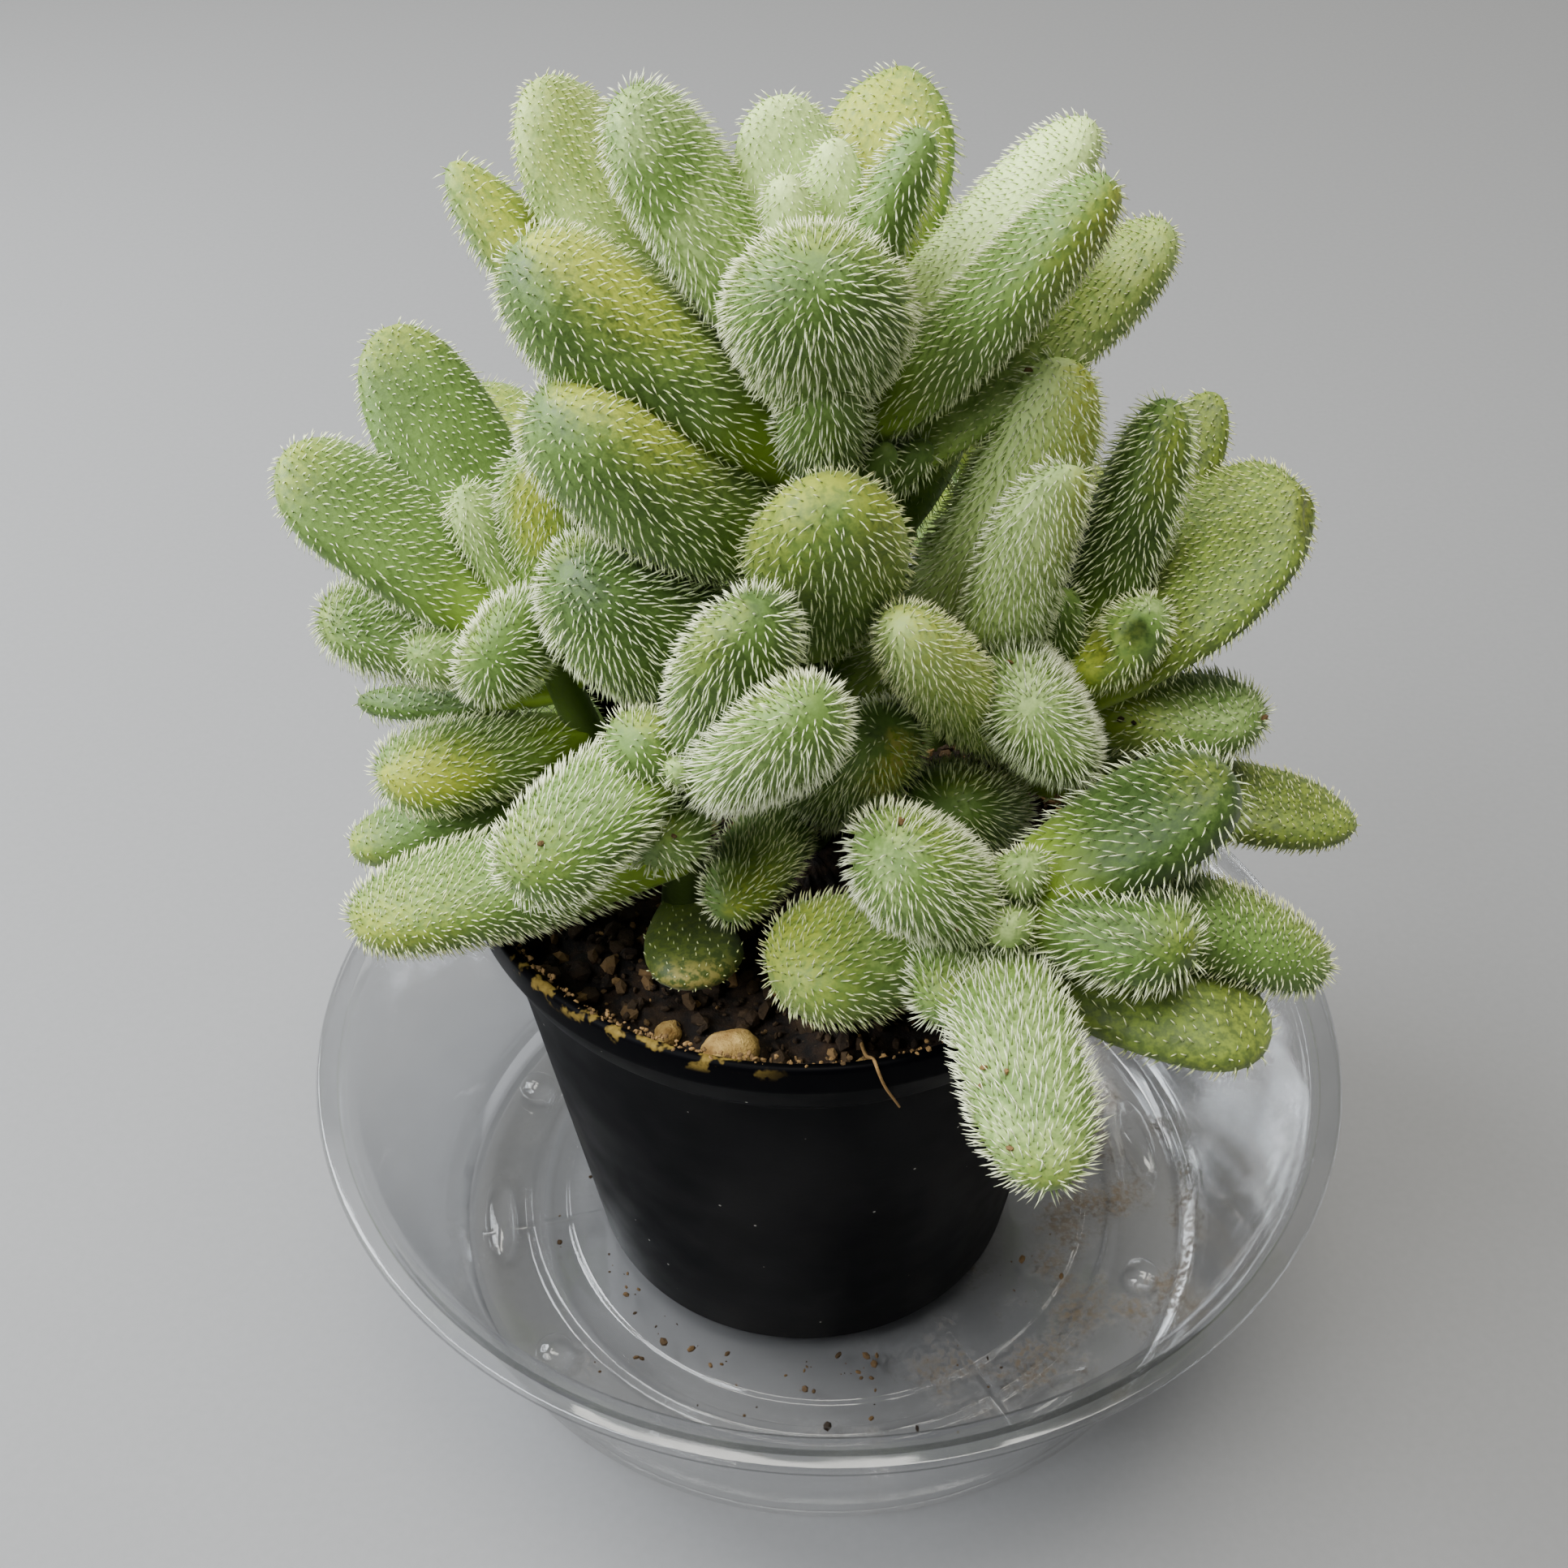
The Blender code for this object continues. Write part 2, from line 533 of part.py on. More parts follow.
def make_leaf(base, row, finish):
    _, heading, rise, length, width, thickness, curl, roll, tip = row
    curl = math.radians(curl)
    direction, across, upper = leaf_frame(math.radians(heading), math.radians(rise), math.radians(roll))
    steps = 24
    point = Vector(base)
    line = []
    for step in range(steps + 1):
        bend = curl * (step / steps - 0.5)
        line.append((point.copy(), upper * math.cos(bend) - direction * math.sin(bend)))
        point += (direction * math.cos(bend) + upper * math.sin(bend)) * (length / steps)
    sides = LARGE_LEAF_SIDES if length >= LARGE_LEAF_LENGTH else SMALL_LEAF_SIDES
    bm = bmesh.new()
    rings = []
    for share in LEAF_STATIONS:
        middle, outward = line[round(share * steps)]
        half = leaf_half_width(share, tip) * width / 2
        deep = leaf_half_width(share, tip) ** 0.8 * thickness / 2
        ring = []
        for side in range(sides):
            angle = 2 * math.pi * (side + 0.5) / sides
            offset = across * half * math.cos(angle) + outward * deep * math.sin(angle)
            ring.append(bm.verts.new((middle + offset) * MM))
        rings.append(ring)
    end = bm.verts.new(line[-1][0] * MM)
    bm.faces.new(rings[0])
    for lower, higher in zip(rings, rings[1:]):
        for side in range(sides):
            after = (side + 1) % sides
            bm.faces.new((lower[side], lower[after], higher[after], higher[side]))
    for side in range(sides):
        bm.faces.new((rings[-1][side], rings[-1][(side + 1) % sides], end))
    return place("leaf", bm, finish)


def stem_point(points, height):
    # The point of the stem's middle line at a height.
    for low, high in zip(points, points[1:]):
        if height <= high[2]:
            break
    share = (height - low[2]) / (high[2] - low[2])
    return Vector(low).lerp(Vector(high), share)


def make_stem(name, points, radii, finish):
    foot = Vector(points[0])
    path = [foot - Vector((0, 0, STEM_SOCKET_DEPTH))] + [Vector(point) for point in points]
    bm = bmesh.new()
    rings = []
    for index, point in enumerate(path):
        share = max(0, index - 1) / (len(path) - 2)
        radius = radii[0] + (radii[1] - radii[0]) * share
        ring = []
        for side in range(STEM_SIDES):
            angle = 2 * math.pi * side / STEM_SIDES
            offset = Vector((math.cos(angle), math.sin(angle), 0)) * radius
            ring.append(bm.verts.new((point + offset) * MM))
        rings.append(ring)
    bm.faces.new(rings[0])
    bm.faces.new(rings[-1])
    for lower, higher in zip(rings, rings[1:]):
        for side in range(STEM_SIDES):
            after = (side + 1) % STEM_SIDES
            bm.faces.new((lower[side], lower[after], higher[after], higher[side]))
    return place(name, bm, finish)


def make_leafy_stem(name, stem, finish):
    body = make_stem(name, stem["points"], stem["radii"], finish)
    leaves = [make_leaf(stem_point(stem["points"], row[0]), row, finish) for row in stem["leaves"]]
    combine(body, leaves, "UNION")


def main():
    start_empty()
    clear = material("clear_plastic", (0.86, 0.87, 0.88), 0.08, 0.35)
    black = material("black_plastic", (0.010, 0.011, 0.014), 0.42)
    peat = material("peat", (0.030, 0.020, 0.013), 0.95)
    tan = material("pebble_tan", (0.36, 0.20, 0.09), 0.85)
    green = material("sedum_green", (0.20, 0.33, 0.14), 0.6)
    make_saucer(clear)
    make_pot(black)
    soil = make_soil(peat)
    cut_soil(soil, peat)
    make_pebbles(tan)
    for name, stem in STEMS.items():
        make_leafy_stem(name, stem, green)


main()
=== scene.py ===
import json
import math
import random

import bmesh
import bpy
import numpy as np
from mathutils import Matrix, Vector, noise

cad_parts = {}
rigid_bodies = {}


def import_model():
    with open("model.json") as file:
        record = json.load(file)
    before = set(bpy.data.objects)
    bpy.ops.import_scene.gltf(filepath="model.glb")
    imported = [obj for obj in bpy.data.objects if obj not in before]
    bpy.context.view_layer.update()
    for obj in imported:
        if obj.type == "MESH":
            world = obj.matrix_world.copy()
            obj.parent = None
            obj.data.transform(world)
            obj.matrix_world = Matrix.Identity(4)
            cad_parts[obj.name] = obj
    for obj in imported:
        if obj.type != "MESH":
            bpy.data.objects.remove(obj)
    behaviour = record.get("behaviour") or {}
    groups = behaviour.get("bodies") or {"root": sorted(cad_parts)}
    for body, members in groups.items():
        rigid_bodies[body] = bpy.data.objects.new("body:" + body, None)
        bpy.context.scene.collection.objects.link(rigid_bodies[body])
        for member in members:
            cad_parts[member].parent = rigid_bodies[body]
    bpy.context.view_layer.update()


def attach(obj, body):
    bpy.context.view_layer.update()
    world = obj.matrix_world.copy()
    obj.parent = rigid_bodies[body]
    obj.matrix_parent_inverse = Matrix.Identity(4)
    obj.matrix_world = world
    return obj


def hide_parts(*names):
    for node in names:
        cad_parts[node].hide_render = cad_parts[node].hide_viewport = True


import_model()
mm = 0.001  # sizes below are in millimetres unless a note says otherwise


# Small helpers for materials

def startMaterial(name):
    made = bpy.data.materials.new(name)
    made.use_nodes = True
    return made, made.node_tree, made.node_tree.nodes["Principled BSDF"]


def feed(tree, socket, value):  # a value is a socket, a number or a colour
    if isinstance(value, bpy.types.NodeSocket):
        tree.links.new(value, socket)
    elif isinstance(value, tuple) and len(value) == 3 and len(socket.default_value) == 4:
        socket.default_value = (*value, 1)
    else:
        socket.default_value = value


def setInputs(tree, node, values):  # the values by the names of the inputs
    for name, value in values.items():
        feed(tree, node.inputs[name], value)


def objectCoords(tree):
    return tree.nodes.new("ShaderNodeTexCoord").outputs["Object"]


def coordParts(tree, coords):
    parts = tree.nodes.new("ShaderNodeSeparateXYZ")
    tree.links.new(coords, parts.inputs["Vector"])
    return parts.outputs["X"], parts.outputs["Y"], parts.outputs["Z"]


def attributeParts(tree, name):
    node = tree.nodes.new("ShaderNodeAttribute")
    node.attribute_name = name
    parts = tree.nodes.new("ShaderNodeSeparateColor")
    tree.links.new(node.outputs["Color"], parts.inputs["Color"])
    return parts.outputs["Red"], parts.outputs["Green"], parts.outputs["Blue"]


def noiseOf(tree, coords, size, detail=3.0, rough=0.55):  # size of the blotches in mm
    node = tree.nodes.new("ShaderNodeTexNoise")
    setInputs(tree, node, {"Vector": coords, "Scale": 1 / (size * mm), "Detail": detail, "Roughness": rough})
    return node.outputs["Fac"]


def dotsOf(tree, coords, size):  # distance to the nearest of scattered points, in cells of that size in mm
    node = tree.nodes.new("ShaderNodeTexVoronoi")
    setInputs(tree, node, {"Vector": coords, "Scale": 1 / (size * mm)})
    return node.outputs["Distance"]


def span(tree, value, low, high, start=0.0, end=1.0):
    node = tree.nodes.new("ShaderNodeMapRange")
    node.interpolation_type = "SMOOTHSTEP"
    setInputs(tree, node, {"Value": value, "From Min": low, "From Max": high, "To Min": start, "To Max": end})
    return node.outputs["Result"]


def combine(tree, operation, result, *others):
    for other in others:
        node = tree.nodes.new("ShaderNodeMath")
        node.operation = operation
        feed(tree, node.inputs[0], result)
        feed(tree, node.inputs[1], other)
        result = node.outputs["Value"]
    return result


def mixOf(tree, amount, first, second):
    node = tree.nodes.new("ShaderNodeMix")
    node.data_type = "RGBA"
    feed(tree, node.inputs["Factor"], amount)
    feed(tree, node.inputs[6], first)
    feed(tree, node.inputs[7], second)
    return node.outputs[2]


def bumpOf(tree, height, strength, distance, under=None):  # distance in mm
    node = tree.nodes.new("ShaderNodeBump")
    setInputs(tree, node, {"Strength": strength, "Distance": distance * mm, "Height": height})
    if under is not None:
        feed(tree, node.inputs["Normal"], under)
    return node.outputs["Normal"]


# Materials

# Leaf colours: deep is painted shade and glow a painted back-lit glow, the two ends of the tone; yellow is
# partly the leaf's own yellowing and partly painted sunlight; lime is painted light shining through each
# leaf's root; old, dry and stem are the leaf's own colours
leafSkinLook = {
    "deep": (0.022, 0.050, 0.006), "sage": (0.130, 0.225, 0.046), "glow": (0.600, 0.770, 0.290),
    "yellow": (0.360, 0.410, 0.040), "lime": (0.320, 0.470, 0.040), "old": (0.150, 0.165, 0.045),
    "dry": (0.450, 0.330, 0.110), "stem": (0.085, 0.140, 0.020),
}


def makeLeafMaterial():
    look = leafSkinLook
    made, tree, shader = startMaterial("hairy sedum leaf")
    coords = objectCoords(tree)
    share, yellow, tone = attributeParts(tree, "leafPlace")
    age, dry, stem = attributeParts(tree, "leafKind")
    blotches = noiseOf(tree, coords, 4.0, 1)
    mottle = noiseOf(tree, coords, 0.7, 2, 0.7)
    large = span(tree, blotches, 0.3, 0.7, -0.07, 0.07)
    small = span(tree, mottle, 0.3, 0.7, -0.06, 0.06)
    # tone paints light and shade leaf by leaf; the blotches and mottle added here are the leaf's own variety
    tone = combine(tree, "ADD", tone, large, small)
    colour = mixOf(tree, span(tree, tone, 0.0, 0.5), look["deep"], look["sage"])
    colour = mixOf(tree, span(tree, tone, 0.5, 1.0), colour, look["glow"])
    # yellow patches: partly the leaf's own yellowing, partly painted sunlight
    sunny = combine(tree, "MULTIPLY", yellow, span(tree, mottle, 0.3, 0.65, 0.6, 1.2))
    colour = mixOf(tree, span(tree, sunny, 0.05, 1.0), colour, look["yellow"])
    # lime: painted light shining through the leaf near its root
    colour = mixOf(tree, span(tree, share, 0.5, 0.02, 0.0, 0.85), colour, look["lime"])
    oldColour = mixOf(tree, span(tree, mottle, 0.35, 0.7), look["old"], look["yellow"])
    colour = mixOf(tree, age, colour, oldColour)
    dryness = combine(tree, "MULTIPLY", dry, span(tree, mottle, 0.4, 0.6))
    colour = mixOf(tree, dryness, colour, look["dry"])
    colour = mixOf(tree, stem, colour, look["stem"])
    setInputs(tree, shader, {
        "Base Color": colour, "Roughness": span(tree, mottle, 0.2, 0.8, 0.42, 0.62),
        "Specular IOR Level": 0.25, "Sheen Weight": 0.2, "Sheen Roughness": 0.45,
        "Sheen Tint": (0.86, 0.96, 0.72), "Normal": bumpOf(tree, mottle, 0.5, 0.12),
    })
    return made


def makeHairMaterial():
    made, tree, shader = startMaterial("white leaf hair")
    along, warmth, _ = attributeParts(tree, "hairPlace")
    tip = mixOf(tree, warmth, (0.88, 0.94, 0.66), (0.90, 0.90, 0.36))
    colour = mixOf(tree, span(tree, along, 0.05, 0.7), (0.30, 0.44, 0.09), tip)
    setInputs(tree, shader, {
        "Base Color": colour, "Roughness": 0.45, "Specular IOR Level": 0.5, "Sheen Weight": 0.25,
        "Sheen Tint": (1, 1, 0.9),
    })
    return made


def makePotMaterial():
    made, tree, shader = startMaterial("black pot plastic")
    coords = objectCoords(tree)
    film = noiseOf(tree, coords, 14, 3, 0.62)
    fine = noiseOf(tree, coords, 0.5, 3)
    clumps = noiseOf(tree, coords, 1.9, 3, 0.6)
    x, y, z = coordParts(tree, coords)
    dust = combine(tree, "MULTIPLY", span(tree, film, 0.52, 0.78), span(tree, fine, 0.4, 0.7))
    low = span(tree, z, 14 * mm, 2 * mm, 0.0, 0.35)
    dust = combine(tree, "ADD", combine(tree, "MULTIPLY", dust, 0.08), combine(tree, "MULTIPLY", low, fine))
    colour = mixOf(tree, dust, (0.0007, 0.0007, 0.0014), (0.022, 0.020, 0.018))
    specks = span(tree, dotsOf(tree, coords, 3.1), 0.045, 0.03)
    colour = mixOf(tree, specks, colour, (0.45, 0.43, 0.38))
    front = span(tree, y, -7 * mm, -12 * mm)
    left = span(tree, x, -3 * mm, -10 * mm)
    brim = span(tree, z, 50.2 * mm, 50.9 * mm)
    crust = combine(tree, "MULTIPLY", front, left, brim, span(tree, clumps, 0.50, 0.60))
    colour = mixOf(tree, crust, colour, mixOf(tree, fine, (0.05, 0.03, 0.006), (0.30, 0.21, 0.05)))
    setInputs(tree, shader, {
        "Base Color": colour, "Roughness": span(tree, film, 0.3, 0.75, 0.38, 0.55),
        "Specular IOR Level": 0.04, "Normal": bumpOf(tree, fine, 0.12, 0.05),
    })
    return made


def makeSaucerMaterial():
    # A thin clear wall sends back a little light, more of it at a slant, and lets the rest through
    made, tree, shader = startMaterial("clear saucer plastic")
    coords = objectCoords(tree)
    film = noiseOf(tree, coords, 9, 2, 0.65)
    fine = noiseOf(tree, coords, 0.6, 2, 0.6)
    x, _, z = coordParts(tree, coords)
    # brown grime low on the saucer, with a painted warm shadow that makes it denser towards the right
    shadeToRight = span(tree, x, -10 * mm, 35 * mm, 0.5, 1.6)
    low = span(tree, z, 6 * mm, 1 * mm, 0.07, 0.37)
    grimeAndShade = combine(tree, "MULTIPLY", span(tree, film, 0.42, 0.72), span(tree, fine, 0.3, 0.7), low, shadeToRight)
    slant = tree.nodes.new("ShaderNodeFresnel")
    setInputs(tree, slant, {"IOR": 1.5})
    gloss = span(tree, slant.outputs["Fac"], 0.03, 0.6, 0.06, 0.62)
    dull = span(tree, grimeAndShade, 0.0, 0.3)
    setInputs(tree, shader, {
        "Base Color": mixOf(tree, dull, (0.93, 0.94, 0.95), (0.24, 0.18, 0.11)),
        "Metallic": combine(tree, "SUBTRACT", 1.0, dull), "Alpha": combine(tree, "MAXIMUM", gloss, grimeAndShade),
        "Roughness": span(tree, film, 0.3, 0.8, 0.05, 0.16),
        "Normal": bumpOf(tree, noiseOf(tree, coords, 7, 1), 0.25, 0.35),
    })
    return made


def makeSoilMaterial():
    made, tree, shader = startMaterial("dry peat")
    coords = objectCoords(tree)
    luck, tan, _ = attributeParts(tree, "grain")
    clods = noiseOf(tree, coords, 1.6, 3, 0.65)
    fine = noiseOf(tree, coords, 0.25, 3, 0.6)
    colour = mixOf(tree, span(tree, clods, 0.35, 0.75), (0.007, 0.005, 0.004), (0.034, 0.018, 0.008))
    colour = mixOf(tree, combine(tree, "MULTIPLY", luck, 0.55), colour, (0.080, 0.048, 0.022))
    colour = mixOf(tree, tan, colour, (0.34, 0.20, 0.075))
    colour = mixOf(tree, span(tree, fine, 0.62, 0.75, 0.0, 0.35), colour, (0.22, 0.15, 0.07))
    setInputs(tree, shader, {
        "Base Color": colour, "Roughness": 0.88, "Specular IOR Level": 0.3,
        "Normal": bumpOf(tree, clods, 0.6, 0.4, bumpOf(tree, fine, 0.8, 0.12)),
    })
    return made


def makePebbleMaterial():
    made, tree, shader = startMaterial("tan stone")
    coords = objectCoords(tree)
    patches = noiseOf(tree, coords, 1.6, 4, 0.6)
    fine = noiseOf(tree, coords, 0.2, 3, 0.6)
    colour = mixOf(tree, span(tree, patches, 0.3, 0.7), (0.22, 0.115, 0.022), (0.50, 0.33, 0.10))
    colour = mixOf(tree, span(tree, fine, 0.58, 0.72, 0.0, 0.6), colour, (0.16, 0.08, 0.03))
    setInputs(tree, shader, {
        "Base Color": colour, "Roughness": 0.8,
        "Normal": bumpOf(tree, patches, 0.9, 0.35, bumpOf(tree, fine, 0.9, 0.12)),
    })
    return made


def makeFloorMaterial():
    made, tree, shader = startMaterial("pale floor")
    fine = noiseOf(tree, objectCoords(tree), 0.9, 2)
    colour = mixOf(tree, fine, (0.205, 0.206, 0.210), (0.228, 0.229, 0.233))
    setInputs(tree, shader, {"Base Color": colour, "Roughness": 0.75, "Specular IOR Level": 0.2})
    return made


# Small helpers for meshes

def addObject(name, data):
    made = bpy.data.objects.new(name, data)
    bpy.context.scene.collection.objects.link(made)
    return made


def addPiece(name, mesh, material, standsFor=()):
    mesh.name = name
    mesh.materials.clear()
    mesh.materials.append(material)
    piece = addObject(name, mesh)
    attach(piece, "root")
    if standsFor:
        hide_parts(*standsFor)


def shade(mesh, smoothAngle):
    mesh.shade_smooth()
    mesh.set_sharp_from_angle(angle=math.radians(smoothAngle))


def toMesh(bm, name, smoothAngle=40):
    bmesh.ops.recalc_face_normals(bm, faces=bm.faces)
    mesh = bpy.data.meshes.new(name)
    bm.to_mesh(mesh)
    bm.free()
    shade(mesh, smoothAngle)
    return mesh


def turned(profile, steps, centre=(0, 0)):  # the profile starts and ends on the axis
    bm = bmesh.new()
    points = [bm.verts.new((radius * mm, 0, height * mm)) for radius, height in profile]
    edges = [bm.edges.new(pair) for pair in zip(points, points[1:])]
    bmesh.ops.spin(bm, geom=points + edges, cent=(0, 0, 0), axis=(0, 0, 1), angle=2 * math.pi, steps=steps,
                   use_merge=True)
    bmesh.ops.remove_doubles(bm, verts=bm.verts, dist=1e-6)
    bmesh.ops.translate(bm, verts=bm.verts, vec=(centre[0] * mm, centre[1] * mm, 0))
    return bm


def roundRings(bm, width, least=14):  # bevels the hard edges that run round a turned piece
    bmesh.ops.recalc_face_normals(bm, faces=bm.faces)
    rings = []
    for edge in bm.edges:
        level = abs(edge.verts[0].co.z - edge.verts[1].co.z) < 1e-7
        if level and len(edge.link_faces) == 2 and edge.calc_face_angle(0) > math.radians(least):
            rings.append(edge)
    bmesh.ops.bevel(bm, geom=rings, offset=width * mm, segments=3, affect="EDGES", profile=0.5, material=-1,
                    clamp_overlap=True)
    return bm


def booleanOf(mesh, others, operation):
    base = addObject("base", mesh)
    group = bpy.data.collections.new("cutters")
    bpy.context.scene.collection.children.link(group)
    for number, other in enumerate(others):
        group.objects.link(bpy.data.objects.new(f"cutter{number}", other))
    tool = base.modifiers.new("tool", "BOOLEAN")
    tool.operand_type = "COLLECTION"
    tool.collection = group
    tool.operation = operation
    depsgraph = bpy.context.evaluated_depsgraph_get()
    result = bpy.data.meshes.new_from_object(base.evaluated_get(depsgraph))
    for thing in list(group.objects) + [base]:
        bpy.data.objects.remove(thing, do_unlink=True)
    bpy.data.collections.remove(group)
    return result


def copiesOf(name, template, points):  # one mesh of many copies, whose points are given copy by copy
    count, each = points.shape[:2]
    corners = np.zeros(len(template.loops), np.int32)
    template.loops.foreach_get("vertex_index", corners)
    starts = np.zeros(len(template.polygons), np.int32)
    template.polygons.foreach_get("loop_start", starts)
    steps = np.arange(count, dtype=np.int32)[:, None]
    mesh = bpy.data.meshes.new(name)
    mesh.vertices.add(count * each)
    mesh.loops.add(count * len(corners))
    mesh.polygons.add(count * len(starts))
    mesh.vertices.foreach_set("co", points.astype(np.float32).ravel())
    mesh.loops.foreach_set("vertex_index", (corners + steps * each).ravel())
    mesh.polygons.foreach_set("loop_start", (starts + steps * len(corners)).ravel())
    mesh.update(calc_edges=True)
    mesh.shade_smooth()
    return mesh


def pointsOf(mesh):
    points = np.zeros(len(mesh.vertices) * 3, np.float32)
    mesh.vertices.foreach_get("co", points)
    return points.reshape(-1, 3)


def paint(mesh, name, values):  # three numbers for each point, which a material reads as a colour
    layer = mesh.attributes.new(name, "FLOAT_COLOR", "POINT")
    filled = np.ones((len(values), 4), np.float32)
    filled[:, :3] = values
    layer.data.foreach_set("color", filled.ravel())


def tube(path, radii):  # a smooth tapering tube
    curve = bpy.data.curves.new("tube", "CURVE")
    curve.dimensions = "3D"
    curve.bevel_depth = mm
    curve.bevel_resolution = 4
    curve.use_fill_caps = True
    curve.resolution_u = 6
    line = curve.splines.new("NURBS")
    line.points.add(len(path) - 1)
    for index, (x, y, z) in enumerate(path):
        line.points[index].co = (x * mm, y * mm, z * mm, 1)
        line.points[index].radius = radii[0] + (radii[1] - radii[0]) * max(0, index - 1) / (len(path) - 2)
    line.use_endpoint_u = True
    line.order_u = 3
    thing = addObject("tube", curve)
    mesh = bpy.data.meshes.new_from_object(thing.evaluated_get(bpy.context.evaluated_depsgraph_get()))
    bpy.data.objects.remove(thing, do_unlink=True)
    return mesh


def unit(vectors):
    return vectors / np.maximum(np.linalg.norm(vectors, axis=-1, keepdims=True), 1e-9)


# Saucer: thin clear plastic with a flat flange, ring steps, ribs and bumps

saucer = {
    "base": 38.6, "wall": 46.8, "rim": 49.3, "height": 26.8, "thick": 0.9, "floor": 1.2,
    "seat": 1.5, "seatRadius": 27.0, "ring": 31.0, "steps": 168,
    "bumpRing": 34.2, "bumps": 12, "firstBump": -142, "roundBump": (1.9, 1.9, 1.1),
    "longBump": (1.7, 5.4, 0.9), "ribs": (-168, -60, 48), "ribRing": 29.6, "ribHeight": 1.15,
    "ribSize": (13.4, 0.9, 1.5), "ribEdge": 0.2,
}


def saucerWall(height):
    return saucer["base"] + (saucer["wall"] - saucer["base"]) * height / saucer["height"]


def makeSaucer(material):
    s = saucer
    top = s["height"]
    under = top - s["thick"]
    ring = s["ring"]
    profile = (
        (0, 0), (s["base"] - 1.0, 0), (s["base"] + 0.1, 1.0), (saucerWall(under) - 0.1, under - 0.6),
        (s["wall"] + 0.5, under), (s["rim"] - 0.2, under), (s["rim"], under + 0.3), (s["rim"] - 0.3, top),
        (saucerWall(top) - 0.4, top), (saucerWall(top - 1.0) - s["thick"], top - 1.0),
        (saucerWall(3.0) - s["thick"], 3.0), (s["base"] - 1.6, s["floor"]), (ring + 0.6, s["floor"]),
        (ring, s["floor"] + 0.7), (ring - 0.8, s["floor"] + 0.7), (ring - 1.4, s["floor"]),
        (s["seatRadius"] + 0.4, s["floor"]), (s["seatRadius"], s["seat"]), (0, s["seat"]),
    )
    body = toMesh(roundRings(turned(profile, s["steps"]), 0.22), "saucer body")
    relief = []
    for index in range(s["bumps"]):
        turn = math.radians(s["firstBump"] + index * 360 / s["bumps"])
        radii = s["roundBump"] if index % 2 == 0 else s["longBump"]
        shape = Matrix.Rotation(turn, 4, "Z") @ Matrix.Translation((s["bumpRing"] * mm, 0, s["floor"] * mm))
        bm = bmesh.new()
        bmesh.ops.create_uvsphere(bm, u_segments=24, v_segments=14, radius=mm,
                                  matrix=shape @ Matrix.Diagonal((*radii, 1)))
        relief.append(toMesh(bm, "bump"))
    for turn in s["ribs"]:
        shape = Matrix.Rotation(math.radians(turn), 4, "Z")
        shape = shape @ Matrix.Translation((s["ribRing"] * mm, 0, s["ribHeight"] * mm))
        bm = bmesh.new()
        bmesh.ops.create_cube(bm, size=mm, matrix=shape @ Matrix.Diagonal((*s["ribSize"], 1)))
        bmesh.ops.bevel(bm, geom=bm.edges, offset=s["ribEdge"] * mm, segments=3, affect="EDGES", profile=0.5,
                        material=-1)
        relief.append(toMesh(bm, "rib"))
    mesh = booleanOf(body, relief, "UNION")
    shade(mesh, 50)
    addPiece("clear_saucer", mesh, material, ["saucer"])


# Pot: thin black plastic with a collar below the rim

pot = {
    "x": -2.3, "y": 0.4, "foot": 21.4, "footHeight": 1.8, "rim": 30.0, "height": 51.5, "collar": 45.4,
    "thick": 0.9, "steps": 144, "drain": 2.6, "drainRing": 12.5,
}


def potWall(height):
    share = (height - 1.5) / (pot["collar"] - 1.5)
    return pot["foot"] + (pot["rim"] - 2.2 - pot["foot"]) * share


def makePot(material):
    p = pot
    foot, collar, rim, top = p["footHeight"], p["collar"], p["rim"], p["height"]
    profile = (
        (0, foot), (p["foot"] - 0.9, foot), (p["foot"], foot + 0.9), (potWall(collar - 1.0), collar - 1.0),
        (rim - 1.1, collar + 0.6), (rim + 0.2, top - 2.4), (rim, top - 0.3), (rim - 0.3, top),
        (rim - p["thick"], top), (rim - p["thick"] - 0.2, top - 1.0), (rim - 2.0, collar + 0.6),
        (potWall(collar - 1.4) - p["thick"], collar - 1.4), (p["foot"] - p["thick"], foot + 1.0),
        (0, foot + 1.0),
    )
    body = toMesh(roundRings(turned(profile, p["steps"], (p["x"], p["y"])), 0.2), "pot body")
    drains = []
    for quarter in range(4):
        turn = math.radians(45 + 90 * quarter)
        x = p["x"] + p["drainRing"] * math.cos(turn)
        y = p["y"] + p["drainRing"] * math.sin(turn)
        place = Matrix.Translation((x * mm, y * mm, (foot + 0.5) * mm))
        radius = p["drain"] * mm
        bm = bmesh.new()
        bmesh.ops.create_cone(bm, cap_ends=True, segments=32, radius1=radius, radius2=radius, depth=4 * mm,
                              matrix=place)
        drains.append(toMesh(bm, "drain"))
    mesh = booleanOf(body, drains, "DIFFERENCE")
    shade(mesh, 40)
    addPiece("nursery_pot", mesh, material, ["pot"])


# Soil: dark peat with crumbs, a crust of grit on the pot's rim, stones and a dry rootlet

